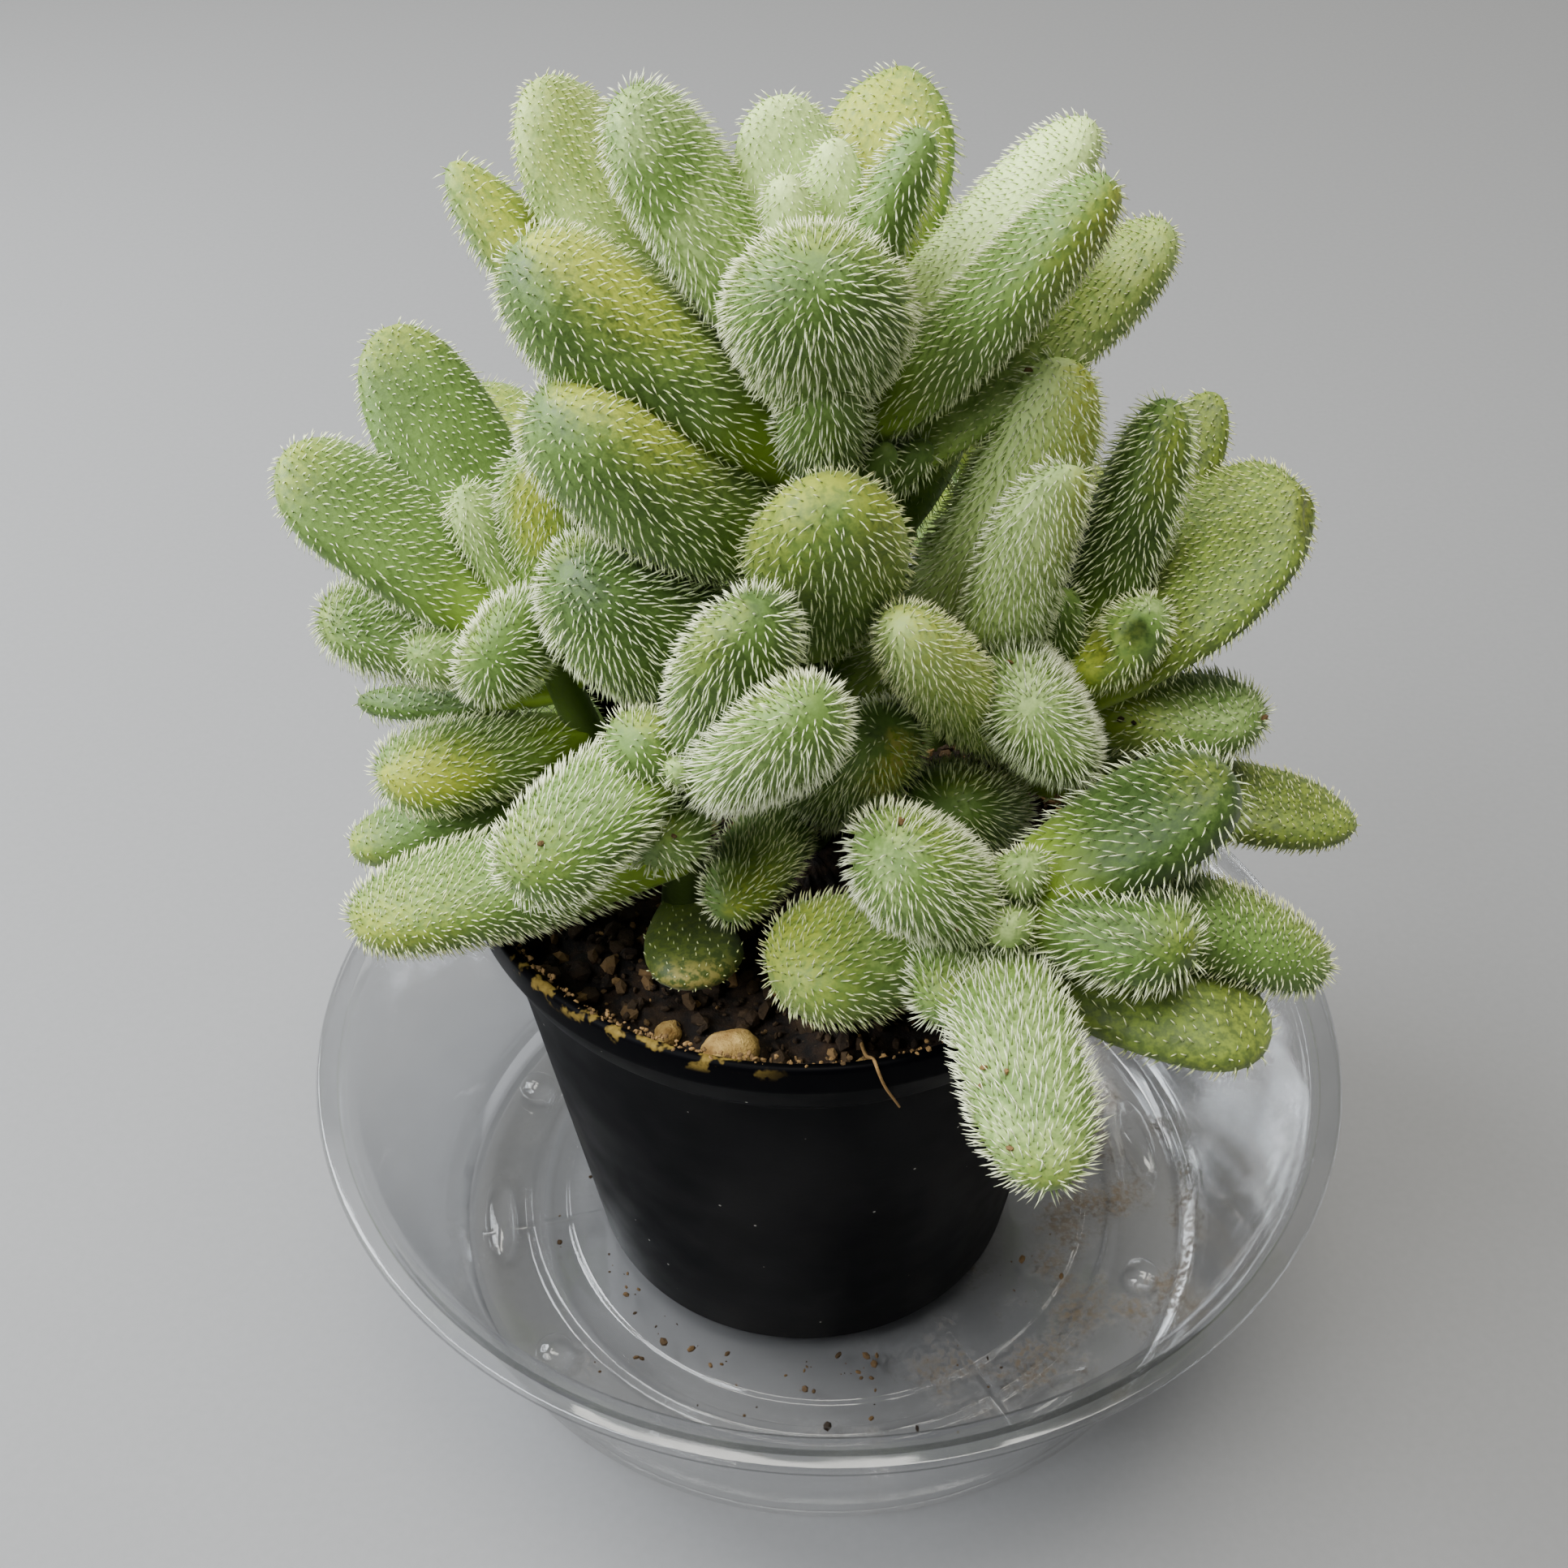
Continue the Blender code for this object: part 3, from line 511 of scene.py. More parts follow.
soil = {
    "height": 47.0, "relief": 0.7, "rough": 0.55, "lumps": 0.22, "edgeFade": 1.2, "rings": 62, "steps": 190,
    "crumbs": 2600, "tanCrumbs": 0.30, "crumbSize": (0.18, 0.85), "rimGrit": 420, "gritSize": (0.08, 0.3),
    "gritFacing": (-112, 34), "spilt": 80, "spiltSize": (0.08, 0.4), "spiltFacings": (-150, -135, -45, -100),
    "rootlet": ((2.0, -22.3, 47.6), (2.3, -25.5, 48.6), (2.7, -27.6, 50.8), (2.9, -28.7, 51.7),
                (3.1, -29.5, 51.5), (3.7, -29.5, 49.5), (4.5, -29.3, 47.8), (5.0, -28.9, 46.4)),
    "rootletRadii": (0.17, 0.09),
    "pebbles": ((-8.6, -24.6, 5.2, 3.8, 3.0, 20), (-13.8, -21.4, 2.8, 2.2, 1.8, 60),
                (2.6, -25.4, 2.4, 2.0, 1.6, -30)),  # place, three sizes, turn in degrees
}


def soilHeight(x, y):
    ripple = math.sin(0.61 * x + 1.3) * math.cos(0.53 * y - 0.4)
    ripple += 0.6 * math.sin(0.29 * x - 0.83 * y + 2.1)
    return soil["height"] + soil["relief"] * ripple


def makeSoil(material):
    p = pot
    edge = p["rim"] - p["thick"] - 1.3
    floor = p["footHeight"] + 1.3
    collar = p["collar"]
    profile = [
        (0, floor), (p["foot"] - p["thick"] - 0.3, floor),
        (potWall(collar - 1.4) - p["thick"] - 0.3, collar - 1.4), (p["rim"] - 2.3, collar + 0.6),
        (edge, soil["height"] + 0.2),
    ]
    profile += [(edge * (1 - ring / soil["rings"]), soil["height"]) for ring in range(1, soil["rings"] + 1)]
    bm = turned(profile, soil["steps"], (p["x"], p["y"]))
    for vert in bm.verts:
        x, y, z = vert.co / mm
        fromEdge = edge - math.hypot(x - p["x"], y - p["y"])
        if z > soil["height"] - 0.5:
            rough = noise.fractal(Vector((x, y, 3.0)) * 0.9, 0.9, 2.1, 5)
            lumps = noise.noise(Vector((x, y, 7.0)) * 2.6)
            fade = min(1, max(0, fromEdge) / soil["edgeFade"])
            vert.co.z = (soilHeight(x, y) * fade + (soil["height"] + 0.1) * (1 - fade)) * mm
            vert.co.z += (soil["rough"] * rough + soil["lumps"] * lumps) * fade * mm
    mesh = toMesh(bm, "soil", 80)
    paint(mesh, "grain", np.zeros((len(mesh.vertices), 3)))
    addPiece("peat", mesh, material, ["soil"])


def grainTemplate():
    bm = bmesh.new()
    bmesh.ops.create_icosphere(bm, subdivisions=1, radius=1)
    for vert in bm.verts:
        vert.co *= 1 + 0.45 * noise.noise(vert.co * 1.7 + Vector((27.3, 0, 0)))
    return toMesh(bm, "grain", 20)


def scatterGrains(name, spots, material):  # a spot is a place, a size and how tan the grain is
    template = grainTemplate()
    shape = pointsOf(template)
    draw = random.Random(len(spots))
    points = np.zeros((len(spots), len(shape), 3))
    tones = np.zeros((len(spots), len(shape), 3))
    for index, (place, size, tan) in enumerate(spots):
        turn = Matrix.Rotation(draw.uniform(0, 6.28), 3, "Z") @ Matrix.Rotation(draw.uniform(0, 6.28), 3, "X")
        scale = np.array((size, size * draw.uniform(0.6, 1.0), size * draw.uniform(0.5, 0.8)))
        points[index] = (shape * scale) @ np.array(turn).T + np.array(place)
        tones[index] = (draw.random(), tan, 0)
    mesh = copiesOf(name, template, points * mm)
    shade(mesh, 25)
    paint(mesh, "grain", tones.reshape(-1, 3))
    addPiece(name, mesh, material)


def makeRootlet(material):
    mesh = tube(soil["rootlet"], soil["rootletRadii"])
    paint(mesh, "grain", np.tile((0.3, 0.9, 0), (len(mesh.vertices), 1)))
    addPiece("dry_rootlet", mesh, material)


def makeGrains(material):
    draw = random.Random(11)
    edge = pot["rim"] - pot["thick"] - 1.4
    crumbs = []
    while len(crumbs) < soil["crumbs"]:
        far = edge * math.sqrt(draw.uniform(0.05, 1.0))
        turn = draw.uniform(0, 2 * math.pi)
        size = soil["crumbSize"][0] + soil["crumbSize"][1] * draw.random() ** 3.2
        x = pot["x"] + far * math.cos(turn)
        y = pot["y"] + far * math.sin(turn)
        tan = 0.8 * draw.random() if draw.random() < soil["tanCrumbs"] else 0
        crumbs.append(((x, y, soilHeight(x, y) + 0.25 + size * 0.2), size, tan))
    scatterGrains("peat_crumbs", crumbs, material)
    grit = []
    for _ in range(soil["rimGrit"]):  # thickest at the front left
        turn = math.radians(draw.gauss(*soil["gritFacing"]))
        far = pot["rim"] - 1.25 + draw.uniform(-0.35, 0.75)
        down = draw.uniform(0, 1.0) ** 2 * 3.2
        far = min(far, pot["rim"] - 0.3) if down < 0.3 else pot["rim"] - 1.3 - 0.1 * down
        size = draw.uniform(*soil["gritSize"])
        place = (pot["x"] + far * math.cos(turn), pot["y"] + far * math.sin(turn), pot["height"] - down)
        grit.append((place, size, draw.uniform(0.2, 0.9)))
    scatterGrains("rim_grit", grit, material)
    spilt = []
    while len(spilt) < soil["spilt"]:
        turn = math.radians(draw.choice(soil["spiltFacings"]) + draw.gauss(0, 18))
        far = 21.6 + abs(draw.gauss(0, 4.5))
        size = soil["spiltSize"][0] + soil["spiltSize"][1] * draw.random() ** 3
        if far > saucer["base"] - 2.5:
            continue
        x, y = far * math.cos(turn), far * math.sin(turn)
        floor = saucer["seat"] if far < saucer["seatRadius"] else saucer["floor"]
        if math.hypot(x - pot["x"], y - pot["y"]) > pot["foot"] + 0.6:
            spilt.append(((x, y, floor + size * 0.4), size, 0.3 * draw.random()))
    scatterGrains("spilt_peat", spilt, material)


def makePebbles(material):
    for number, (x, y, length, width, height, turn) in enumerate(soil["pebbles"], 1):
        bm = bmesh.new()
        bmesh.ops.create_icosphere(bm, subdivisions=4, radius=1)
        for vert in bm.verts:
            vert.co *= 1 + 0.10 * noise.fractal(vert.co * 1.4 + Vector((number * 5.3, 0, 0)), 1, 2, 4)
        middle = Vector((x, y, soilHeight(x, y) + 0.22 * height)) * mm
        shape = Matrix.Translation(middle) @ Matrix.Rotation(math.radians(turn), 4, "Z")
        shape = shape @ Matrix.Diagonal((length / 2 * mm, width / 2 * mm, height / 2 * mm, 1))
        bmesh.ops.transform(bm, matrix=shape, verts=bm.verts)
        addPiece(f"stone_{number}", toMesh(bm, "stone", 60), material, [f"pebble_{number}"])


# Leafy stems. A leaf's row says what leafKeys names, with angles in degrees: a heading of 0 is +X, and 90 the
# back. A row may leave out a roll of 0 and a tip's bluntness of 0.5. All back leaves have the look "back".

leafKeys = ("height", "heading", "rise", "length", "width", "thickness", "curl", "look", "roll", "tip")

leafyStems = {
    "sedum_crown": {
        "points": ((-2, 2, 47), (-2, 1, 62), (-1.5, 1, 78), (-1, 2, 90), (-1.5, 3, 98)),
        "radii": (2.4, 1.5),
        "leaves": (
            (96, 105, 61, 19, 8.5, 4.6, 6, "glow"),
            (92, 66, 50, 26.6, 12, 5, 6, "sunny", 0, 0.7),
            (88, 148, 45, 35.5, 13, 5.6, 34, "lime"),
            (84, 160, 39, 38, 7.8, 5.4, 26, "sunny", 0, 0.6),
            (93, 160, 56, 26.2, 10.6, 6.6, 6, "downy"),
            (97, 60, 77, 15, 4.6, 3.4, 0, "glow"),
            (97, -160, 80, 13.6, 5, 3.8, 0, "glow"),
            (96, 0, 66, 19, 5.6, 4.2, 0, "downy"),
            (93, -92, 57, 19, 12.6, 10, 6, "puff"),
            (87, -4, 49, 31.4, 7.8, 6, 6, "ridge"),
            (92, 21, 41, 29, 7.8, 5.7, 6, "glow", 0, 0.55),
            (84, 20, 32, 34.5, 11, 5.4, 10, "lime"),
            (87, -176, 41, 29, 13.8, 10.2, 14, "ridged"),
            (79, -158, 41, 28, 14.2, 10.4, 12, "ridged"),
            (85, -87, 59, 17, 6.4, 4.8, 6, "deep"),
            (61, 3, 61, 41, 7.2, 9.4, 46, "flank"),
            (71, -84, 60, 25.5, 12.2, 8.6, 16, "dome"),
            (65, -152, 43, 28.5, 14.8, 10.8, 12, "wool"),
            (52, -64, 54, 23.5, 9.8, 7.6, 10, "patched"),
            (54, -109, 11, 21.5, 6.8, 5.2, -6, "crusted"),
            (82, -62, 60, 10.2, 4.4, 3.4, 0, "deep"),
            (82, -35, 53, 11.4, 3.6, 2.8, 0, "deep"),
            (82, -15, 43, 12.3, 4, 3, 0, "deep"),
        ),
        "backLeaves": (
            (85, 118, 32, 31, 11, 5.6, 8), (83, 62, 28, 31, 11, 5.6, 10), (77, 92, 34, 30, 11.4, 6.2, 8),
            (74, 138, 30, 29, 10.4, 5.8, 8), (73, 58, 30, 27, 10, 5.6, 8), (61, 88, 26, 22, 9, 5.4, 8),
            (60, 150, 24, 18, 8, 5.2, 8), (60, 36, 30, 18, 8, 5.2, 8), (56, -168, 26, 17, 7.6, 5.2, 8),
            (67, 112, 34, 25, 9.6, 5.6, 8), (67, 66, 34, 24, 9.4, 5.6, 8), (55, 112, 14, 17, 7.6, 4.8, 6),
            (54, 50, 14, 16, 7.4, 4.8, 6),
        ),
    },
    "sedum_left": {
        "points": ((-17, 2, 47), (-20, 2, 56), (-22.5, 1.5, 65), (-24.7, 1, 74.5)),
        "radii": (2.0, 1.3),
        "leaves": (
            (71, 126, 41, 29.5, 11.2, 5, 8, "plain"),
            (71, 168, 37, 25.6, 13.2, 5.8, 6, "plain", 0, 0.55),
            (73, 144, 56, 12.5, 5, 3.8, 0, "fresh"),
            (71, 60, 84, 17.4, 7.4, 5.4, 12, "groove"),
            (69, 178, 13, 19.5, 9.2, 6, 8, "silver"),
            (65, 170, -10, 19.5, 4, 2.8, 6, "deep"),
            (71, -150, 12, 12, 5.4, 4.2, 6, "fresh"),
            (73, -105, 18, 11.5, 9.2, 6, 10, "pale", 62),
            (74, 170, 20, 6, 3, 2.4, 0, "fresh"),
            (60.5, -155, 5, 18.5, 8.6, 6.4, 8, "tipped"),
            (57, -162, -10, 23, 7.4, 5.2, 6, "plain"),
        ),
        "backLeaves": (
            (66, 60, 40, 18, 7.4, 4.8, 6), (58, 126, 4, 13, 7.2, 4.6, 6), (55, -176, 6, 17, 7, 4.6, -6),
        ),
    },
    "sedum_front": {
        "points": ((-13, -8.5, 47), (-12.4, -10.6, 56), (-11.6, -12.4, 64), (-11.5, -13, 72)),
        "radii": (2.0, 1.3),
        "leaves": (
            (58, -168, -5, 28, 10, 6.6, -12, "crusted"),
            (71, -138, -14, 18, 9, 6.8, -20, "pale"),
            (69, -130, 46, 9, 6.6, 5.6, 0, "puff"),
            (70, -92, 30, 9, 2.8, 2.4, 0, "fresh"),
            (71, -72, 36, 9, 2.8, 2.4, 0, "fresh"),
            (66, -108, 4, 8.5, 6.8, 5.4, 0, "pale"),
            (67, -52, 47, 23.5, 9.2, 7, 10, "pale"),
            (66, -46, 69, 23.6, 9.6, 7.2, 0, "wool"),
            (51, -82, 7, 12, 8, 2.8, -6, "old"),
        ),
        "backLeaves": (),
    },
    "sedum_right": {
        "points": ((14, 2, 47), (16, 0.5, 56), (18.5, -1, 64), (20.5, -3, 70)),
        "radii": (2.0, 1.3),
        "leaves": (
            (57, -79, 79, 36, 4.8, 7, 42, "bank", -84),
            (65, 40, 68, 27.6, 7.2, 5.2, 6, "wool"),
            (64, 51, 42, 31, 7.2, 3.6, 6, "olive", 0, 0.55),
            (67, 24, 38, 25.5, 14, 5.4, 10, "notched", 0, 0.35),
            (68, -22, 57, 11.4, 6.8, 5.2, 0, "hollow"),
            (66, 140, 86, 11, 4.6, 3.6, 0, "deep"),
            (65, -2, -1, 17.8, 8.4, 6, 6, "rooted"),
            (57, -12, -3, 29.6, 10, 4.4, -8, "olive", 0, 0.65),
            (64, -107, 40, 15.5, 12.4, 7.2, 0, "white", -45),
            (59, -133, 53, 30, 8, 6.2, 6, "bright"),
            (54, -118, 33, 17, 9.4, 7.4, 10, "topped"),
        ),
        "backLeaves": ((57, 22, 2, 17, 7.6, 4.8, 6), (62, 84, 40, 17, 7.4, 4.8, 6)),
    },
    "sedum_low": {
        "points": ((8, -13, 47), (10, -17, 54), (12, -20, 60), (13, -21, 63)),
        "radii": (2.0, 1.3),
        "leaves": (
            (61.5, 10, 27, 20.5, 11, 6.6, 4, "dark"),
            (61, -4, -13, 28, 9, 5.8, -36, "crusted", 0, 0.55),
            (60, -29, 9, 17, 8.2, 6.2, -12, "combed"),
            (56, -28, -4, 25.5, 12, 4.8, -14, "flat"),
            (62, -66, 60, 7, 4.6, 3.6, 0, "fresh"),
            (62, -88, 16, 7, 4, 3.2, 0, "fresh"),
            (60, -146, 48, 16, 10.4, 8, 8, "pale"),
            (55, -160, 1, 16.5, 11.4, 8.4, -8, "ripe"),
            (59, -110, -4, 11.5, 6.8, 5.4, -10, "pale"),
            (56, -82, 2, 28.5, 9, 5.4, -46, "silver"),
        ),
        "backLeaves": (),
    },
    "sedum_back_left": {
        "points": ((-14, 15, 47), (-17, 18, 55), (-19, 21, 63), (-20, 23, 68)),
        "radii": (2.0, 1.3),
        "leaves": (),
        "backLeaves": (
            (67, 172, 34, 18, 8, 5, 6), (66, 134, 24, 22, 10, 5.2, 8), (67, 92, 36, 21, 9, 5.2, 8),
            (62, 152, 6, 23, 9, 5.2, -6), (60, 112, 4, 23, 9.4, 5.2, -8), (62, 74, 16, 19, 8.4, 5, 6),
            (67, 30, 60, 12, 5, 3.8, 0), (67, 145, 66, 12, 5, 3.8, 0), (57, 178, 8, 14, 6.8, 4.4, 6),
            (56, 60, 8, 14, 6.8, 4.4, 6), (54, 128, 8, 15, 7, 4.4, 0),
        ),
    },
    "sedum_back_right": {
        "points": ((11, 17, 47), (14, 19, 55), (16, 22, 62), (17, 24, 66)),
        "radii": (2.0, 1.3),
        "leaves": (),
        "backLeaves": (
            (64, 14, 10, 18, 8, 5, 6), (63, 52, 2, 20, 9.6, 5.2, 8), (65, 90, 24, 21, 9, 5.2, 8),
            (59, 34, 4, 23, 9, 5.2, -6), (58, 74, 2, 24, 9.4, 5.2, -8), (61, 116, 14, 18, 8.2, 5, 6),
            (65, 130, 58, 12, 5, 3.8, 0), (65, 60, 60, 12, 5, 3.8, 0), (56, -14, 8, 14, 6.8, 4.4, 6),
            (55, 110, 8, 13, 6.8, 4.4, 6), (54, 54, 8, 15, 7, 4.4, 0),
        ),
    },
}

# How each kind of leaf looks: tone from painted shade (0) over sage (0.5) to a painted back-lit glow (1), set
# for how light falls on the leaf as well as for its own colour, how cream its hairs are, their length and the
# gap between them in mm. A patch is a place on the leaf, its share of the length and its angle (90 is on
# top), with its reach and how yellow it turns, the yellow partly the leaf's own and partly painted sunlight.
# Some kinds are also olive and old, have a dry patch or dents, which are places with their depth in mm and
# are painted darker as shade in the hollow, or bear plain hairs.

def lookOf(tone, warm, hair, gap, patch, age=0, dry=0, plain=False, dents=()):
    return {
        "tone": tone, "warm": warm, "hair": hair, "gap": gap, "patch": patch, "age": age, "dry": dry,
        "plain": plain, "dents": dents,
    }


leafLooks = {
    "glow": lookOf(0.95, 0.2, 0.9, 0.62, (1.0, 90, 0.3, 200, 0.2)),
    "lime": lookOf(0.72, 0.5, 0.85, 0.66, (0.9, 90, 0.5, 200, 0.45)),
    "sunny": lookOf(0.52, 0.4, 1.15, 0.80, (0.72, 75, 0.45, 95, 0.9)),
    "ridged": lookOf(0.24, 0.3, 1.15, 0.80, (0.85, 88, 0.36, 62, 1.0)),
    "dome": lookOf(0.36, 0.4, 1.2, 0.84, (0.95, 90, 0.48, 150, 0.95)),
    "downy": lookOf(0.56, 0.15, 1.25, 0.68, (0.0, 90, 0.5, 90, 0.3)),
    "puff": lookOf(0.38, 0.25, 1.4, 0.60, (0.8, 90, 0.4, 90, 0.55)),
    "ridge": lookOf(0.52, 0.3, 1.1, 0.68, (1.0, -110, 0.35, 120, 0.7)),
    "flank": lookOf(0.92, 0.15, 1.3, 0.58, (0.95, -120, 0.40, 90, 0.8)),
    "bank": lookOf(0.88, 0.1, 1.4, 0.54, (1.0, 60, 0.35, 90, 0.8)),
    "groove": lookOf(0.55, 0.2, 1.25, 0.60, (0.74, 100, 0.28, 45, 1.0)),
    "plain": lookOf(0.33, 0.15, 1.0, 0.80, (1.0, 90, 0.16, 200, 0.5)),
    "deep": lookOf(0.32, 0.15, 1.3, 0.68, (1.0, 90, 0.1, 200, 0.2)),
    "wool": lookOf(0.28, 0.15, 1.35, 0.64, (0.9, 150, 0.25, 60, 0.4)),
    "pale": lookOf(0.52, 0.15, 1.5, 0.58, (0.85, 90, 0.2, 90, 0.4)),
    "white": lookOf(0.74, 0.1, 1.6, 0.47, (0.6, 90, 0.3, 30, 0.3)),
    "silver": lookOf(0.60, 0.15, 1.55, 0.56, (1.0, 90, 0.15, 200, 0.4)),
    "fresh": lookOf(0.68, 0.3, 1.2, 0.58, (1.0, 90, 0.5, 200, 0.2)),
    "tipped": lookOf(0.52, 0.4, 1.35, 0.62, (0.85, 30, 0.35, 60, 1.1)),
    "crusted": lookOf(0.48, 0.4, 1.2, 0.58, (1.0, 30, 0.4, 90, 0.6)),
    "patched": lookOf(0.40, 0.25, 1.35, 0.64, (0.9, -75, 0.16, 40, 1.2), dry=0.8),
    "bright": lookOf(0.84, 0.4, 1.3, 0.60, (0.8, 90, 0.6, 200, 0.75)),
    "topped": lookOf(0.54, 0.3, 1.4, 0.64, (0.6, 90, 0.4, 60, 0.8)),
    "ripe": lookOf(0.50, 0.5, 1.3, 0.74, (1.0, 180, 0.6, 200, 0.8)),
    "rooted": lookOf(0.58, 0.3, 1.3, 0.60, (0.1, 90, 0.5, 200, 0.7)),
    "dark": lookOf(0.10, 0.1, 1.5, 0.95, (0.9, 90, 0.2, 60, 0.3)),
    "combed": lookOf(0.34, 0.2, 1.7, 0.66, (1.0, 90, 0.2, 100, 0.4)),
    "olive": lookOf(0.30, 0.7, 0.85, 0.68, (1.0, 90, 0.3, 200, 0.3), age=0.30),
    "notched": lookOf(0.30, 0.7, 0.85, 0.68, (1.0, 90, 0.3, 200, 0.3), age=0.30,
                      dents=((0.95, 171, 0.05, 28, 2.2),)),
    "flat": lookOf(0.30, 0.6, 1.0, 1.1, (1.0, 90, 0.3, 200, 0.3), age=0.25),
    "old": lookOf(0.10, 0.9, 0.4, 1.1, (1.0, 90, 0.14, 200, 0.3), age=0.2, dry=0.6),
    "hollow": lookOf(0.56, 0.4, 1.2, 0.60, (0.2, 90, 0.6, 200, 0.8),
                     dents=((0.52, 140, 0.15, 42, 2.2), (0.86, 175, 0.09, 50, 1.6))),
    "back": lookOf(0.45, 0.3, 1.2, 0.95, (0.8, 90, 0.5, 110, 0.5), plain=True),
}

leafForm = {  # from the length "large" on, in mm, a leaf has more rings and sides
    "widest": 0.6, "rootWidth": 0.42, "ripple": 0.03, "large": 13, "rings": 20, "sides": 22,
    "smallRings": 14, "smallSides": 16,
}
hairForm = {  # sizes in mm, the width at the middle and the bow as shares, angles in degrees
    "radius": 0.075, "middle": 0.8, "middleAt": 0.6, "sunk": 0.12, "bow": 0.16, "lean": 20, "rootLean": 18,
    "sway": 9, "mostTriangles": 190000,
}


def leafHalfWidth(share, tip):  # as a part of the full half width
    widest = leafForm["widest"]
    swell = leafForm["rootWidth"] + (1 - leafForm["rootWidth"]) * np.sin(0.5 * np.pi * share / widest)
    past = np.clip((share - widest) / (1 - widest), 0, 1)
    return np.where(share < widest, swell, np.maximum(0, 1 - past ** 3) ** tip)


def patchWeight(share, angle, patch):  # how strongly a patch shows at each place
    middle, facing, reach, width = patch[:4]
    aside = (np.degrees(angle) - facing + 180) % 360 - 180
    return np.exp(-((share - middle) / reach) ** 2 - (aside / width) ** 2)


def leafRows(stem):  # the back leaves come last
    return stem["leaves"] + tuple((*row, "back") for row in stem["backLeaves"])


def readLeaf(name, number):
    stem = leafyStems[name]
    leaf = {"roll": 0, "tip": 0.5, **dict(zip(leafKeys, leafRows(stem)[number]))}
    leaf["base"] = np.array(stemPoint(stem["points"], leaf["height"]))
    leaf["phase"] = 1.7 * number + 0.3 * len(name)
    return leaf


def leafSkin(leaf, share, angle):
    # Points of the skin, at shares of the length from root to tip and angles round it, 90 degrees on top
    heading, rise, curl, roll = (math.radians(leaf[key]) for key in ("heading", "rise", "curl", "roll"))
    length, phase = leaf["length"], leaf["phase"]
    level = np.array((-math.sin(heading), math.cos(heading), 0))
    direction = np.array((level[1] * math.cos(rise), -level[0] * math.cos(rise), math.sin(rise)))
    across = level * math.cos(roll) + np.cross(direction, level) * math.sin(roll)
    upper = np.cross(direction, across)
    bend = curl * (share - 0.5)
    if abs(curl) < 0.01:
        out, up = share, np.zeros_like(share)
    else:
        out = (np.sin(bend) + math.sin(curl / 2)) / curl
        up = (math.cos(curl / 2) - np.cos(bend)) / curl
    middle = leaf["base"] + length * (out[..., None] * direction + up[..., None] * upper)
    outward = upper * np.cos(bend)[..., None] - direction * np.sin(bend)[..., None]
    form = leafHalfWidth(share, leaf["tip"])
    wave = 1 + leafForm["ripple"] * np.sin(3 * angle + 5 * share + phase)
    wave = wave + leafForm["ripple"] * np.sin(2 * angle - 9 * share + 2.3 * phase)
    half = form * leaf["width"] / 2 * wave
    deep = form ** 0.8 * leaf["thickness"] / 2 * wave * (1 - 0.08 * np.sin(angle))
    for dent in leafLooks[leaf["look"]]["dents"]:
        shallow = dent[4] * patchWeight(share, angle, dent) * np.minimum(1, 3 * form)
        half = half - shallow
        deep = deep - shallow
    return middle + across * (half * np.cos(angle))[..., None] + outward * (deep * np.sin(angle))[..., None]


def leafNormal(leaf, share, angle):  # the skin's place, its outward direction and the way to the tip
    step, turn = 1e-3, 0.02
    ahead = leafSkin(leaf, np.minimum(share + step, 1), angle)
    along = ahead - leafSkin(leaf, np.maximum(share - step, 0), angle)
    aside = leafSkin(leaf, share, angle + turn) - leafSkin(leaf, share, angle - turn)
    return leafSkin(leaf, share, angle), unit(np.cross(aside, along)), unit(along)


def stemPoint(points, height):
    for low, high in zip(points, points[1:]):
        if height <= high[2]:
            break
    return Vector(low).lerp(Vector(high), (height - low[2]) / (high[2] - low[2]))


def makeLeaf(leaf):
    large = leaf["length"] >= leafForm["large"]
    rings = leafForm["rings"] if large else leafForm["smallRings"]
    sides = leafForm["sides"] if large else leafForm["smallSides"]
    bm = bmesh.new()
    bmesh.ops.create_uvsphere(bm, u_segments=sides, v_segments=rings, radius=1)
    shape = np.array([vert.co for vert in bm.verts])
    share = np.clip((shape[:, 2] + 1) / 2, 0, 1)
    angle = np.arctan2(shape[:, 1], shape[:, 0])
    for vert, point in zip(bm.verts, leafSkin(leaf, share, angle)):
        vert.co = point * mm
    look = leafLooks[leaf["look"]]
    weight = patchWeight(share, angle, look["patch"])
    flat = np.zeros(len(share))
    # tone paints the leaf lighter or darker for how light falls on it, with a little variety from leaf to
    # leaf
    tone = flat + look["tone"] + 0.06 * math.sin(7 * leaf["phase"])
    # a dent is painted darker, as shade in the hollow
    for dent in look["dents"]:
        tone = tone - 0.8 * patchWeight(share, angle, dent)
    place = np.stack((share, weight * look["patch"][4], tone), 1)
    kind = np.stack((flat + look["age"], weight * look["dry"], flat), 1)
    return toMesh(bm, "leaf", 60), place, kind


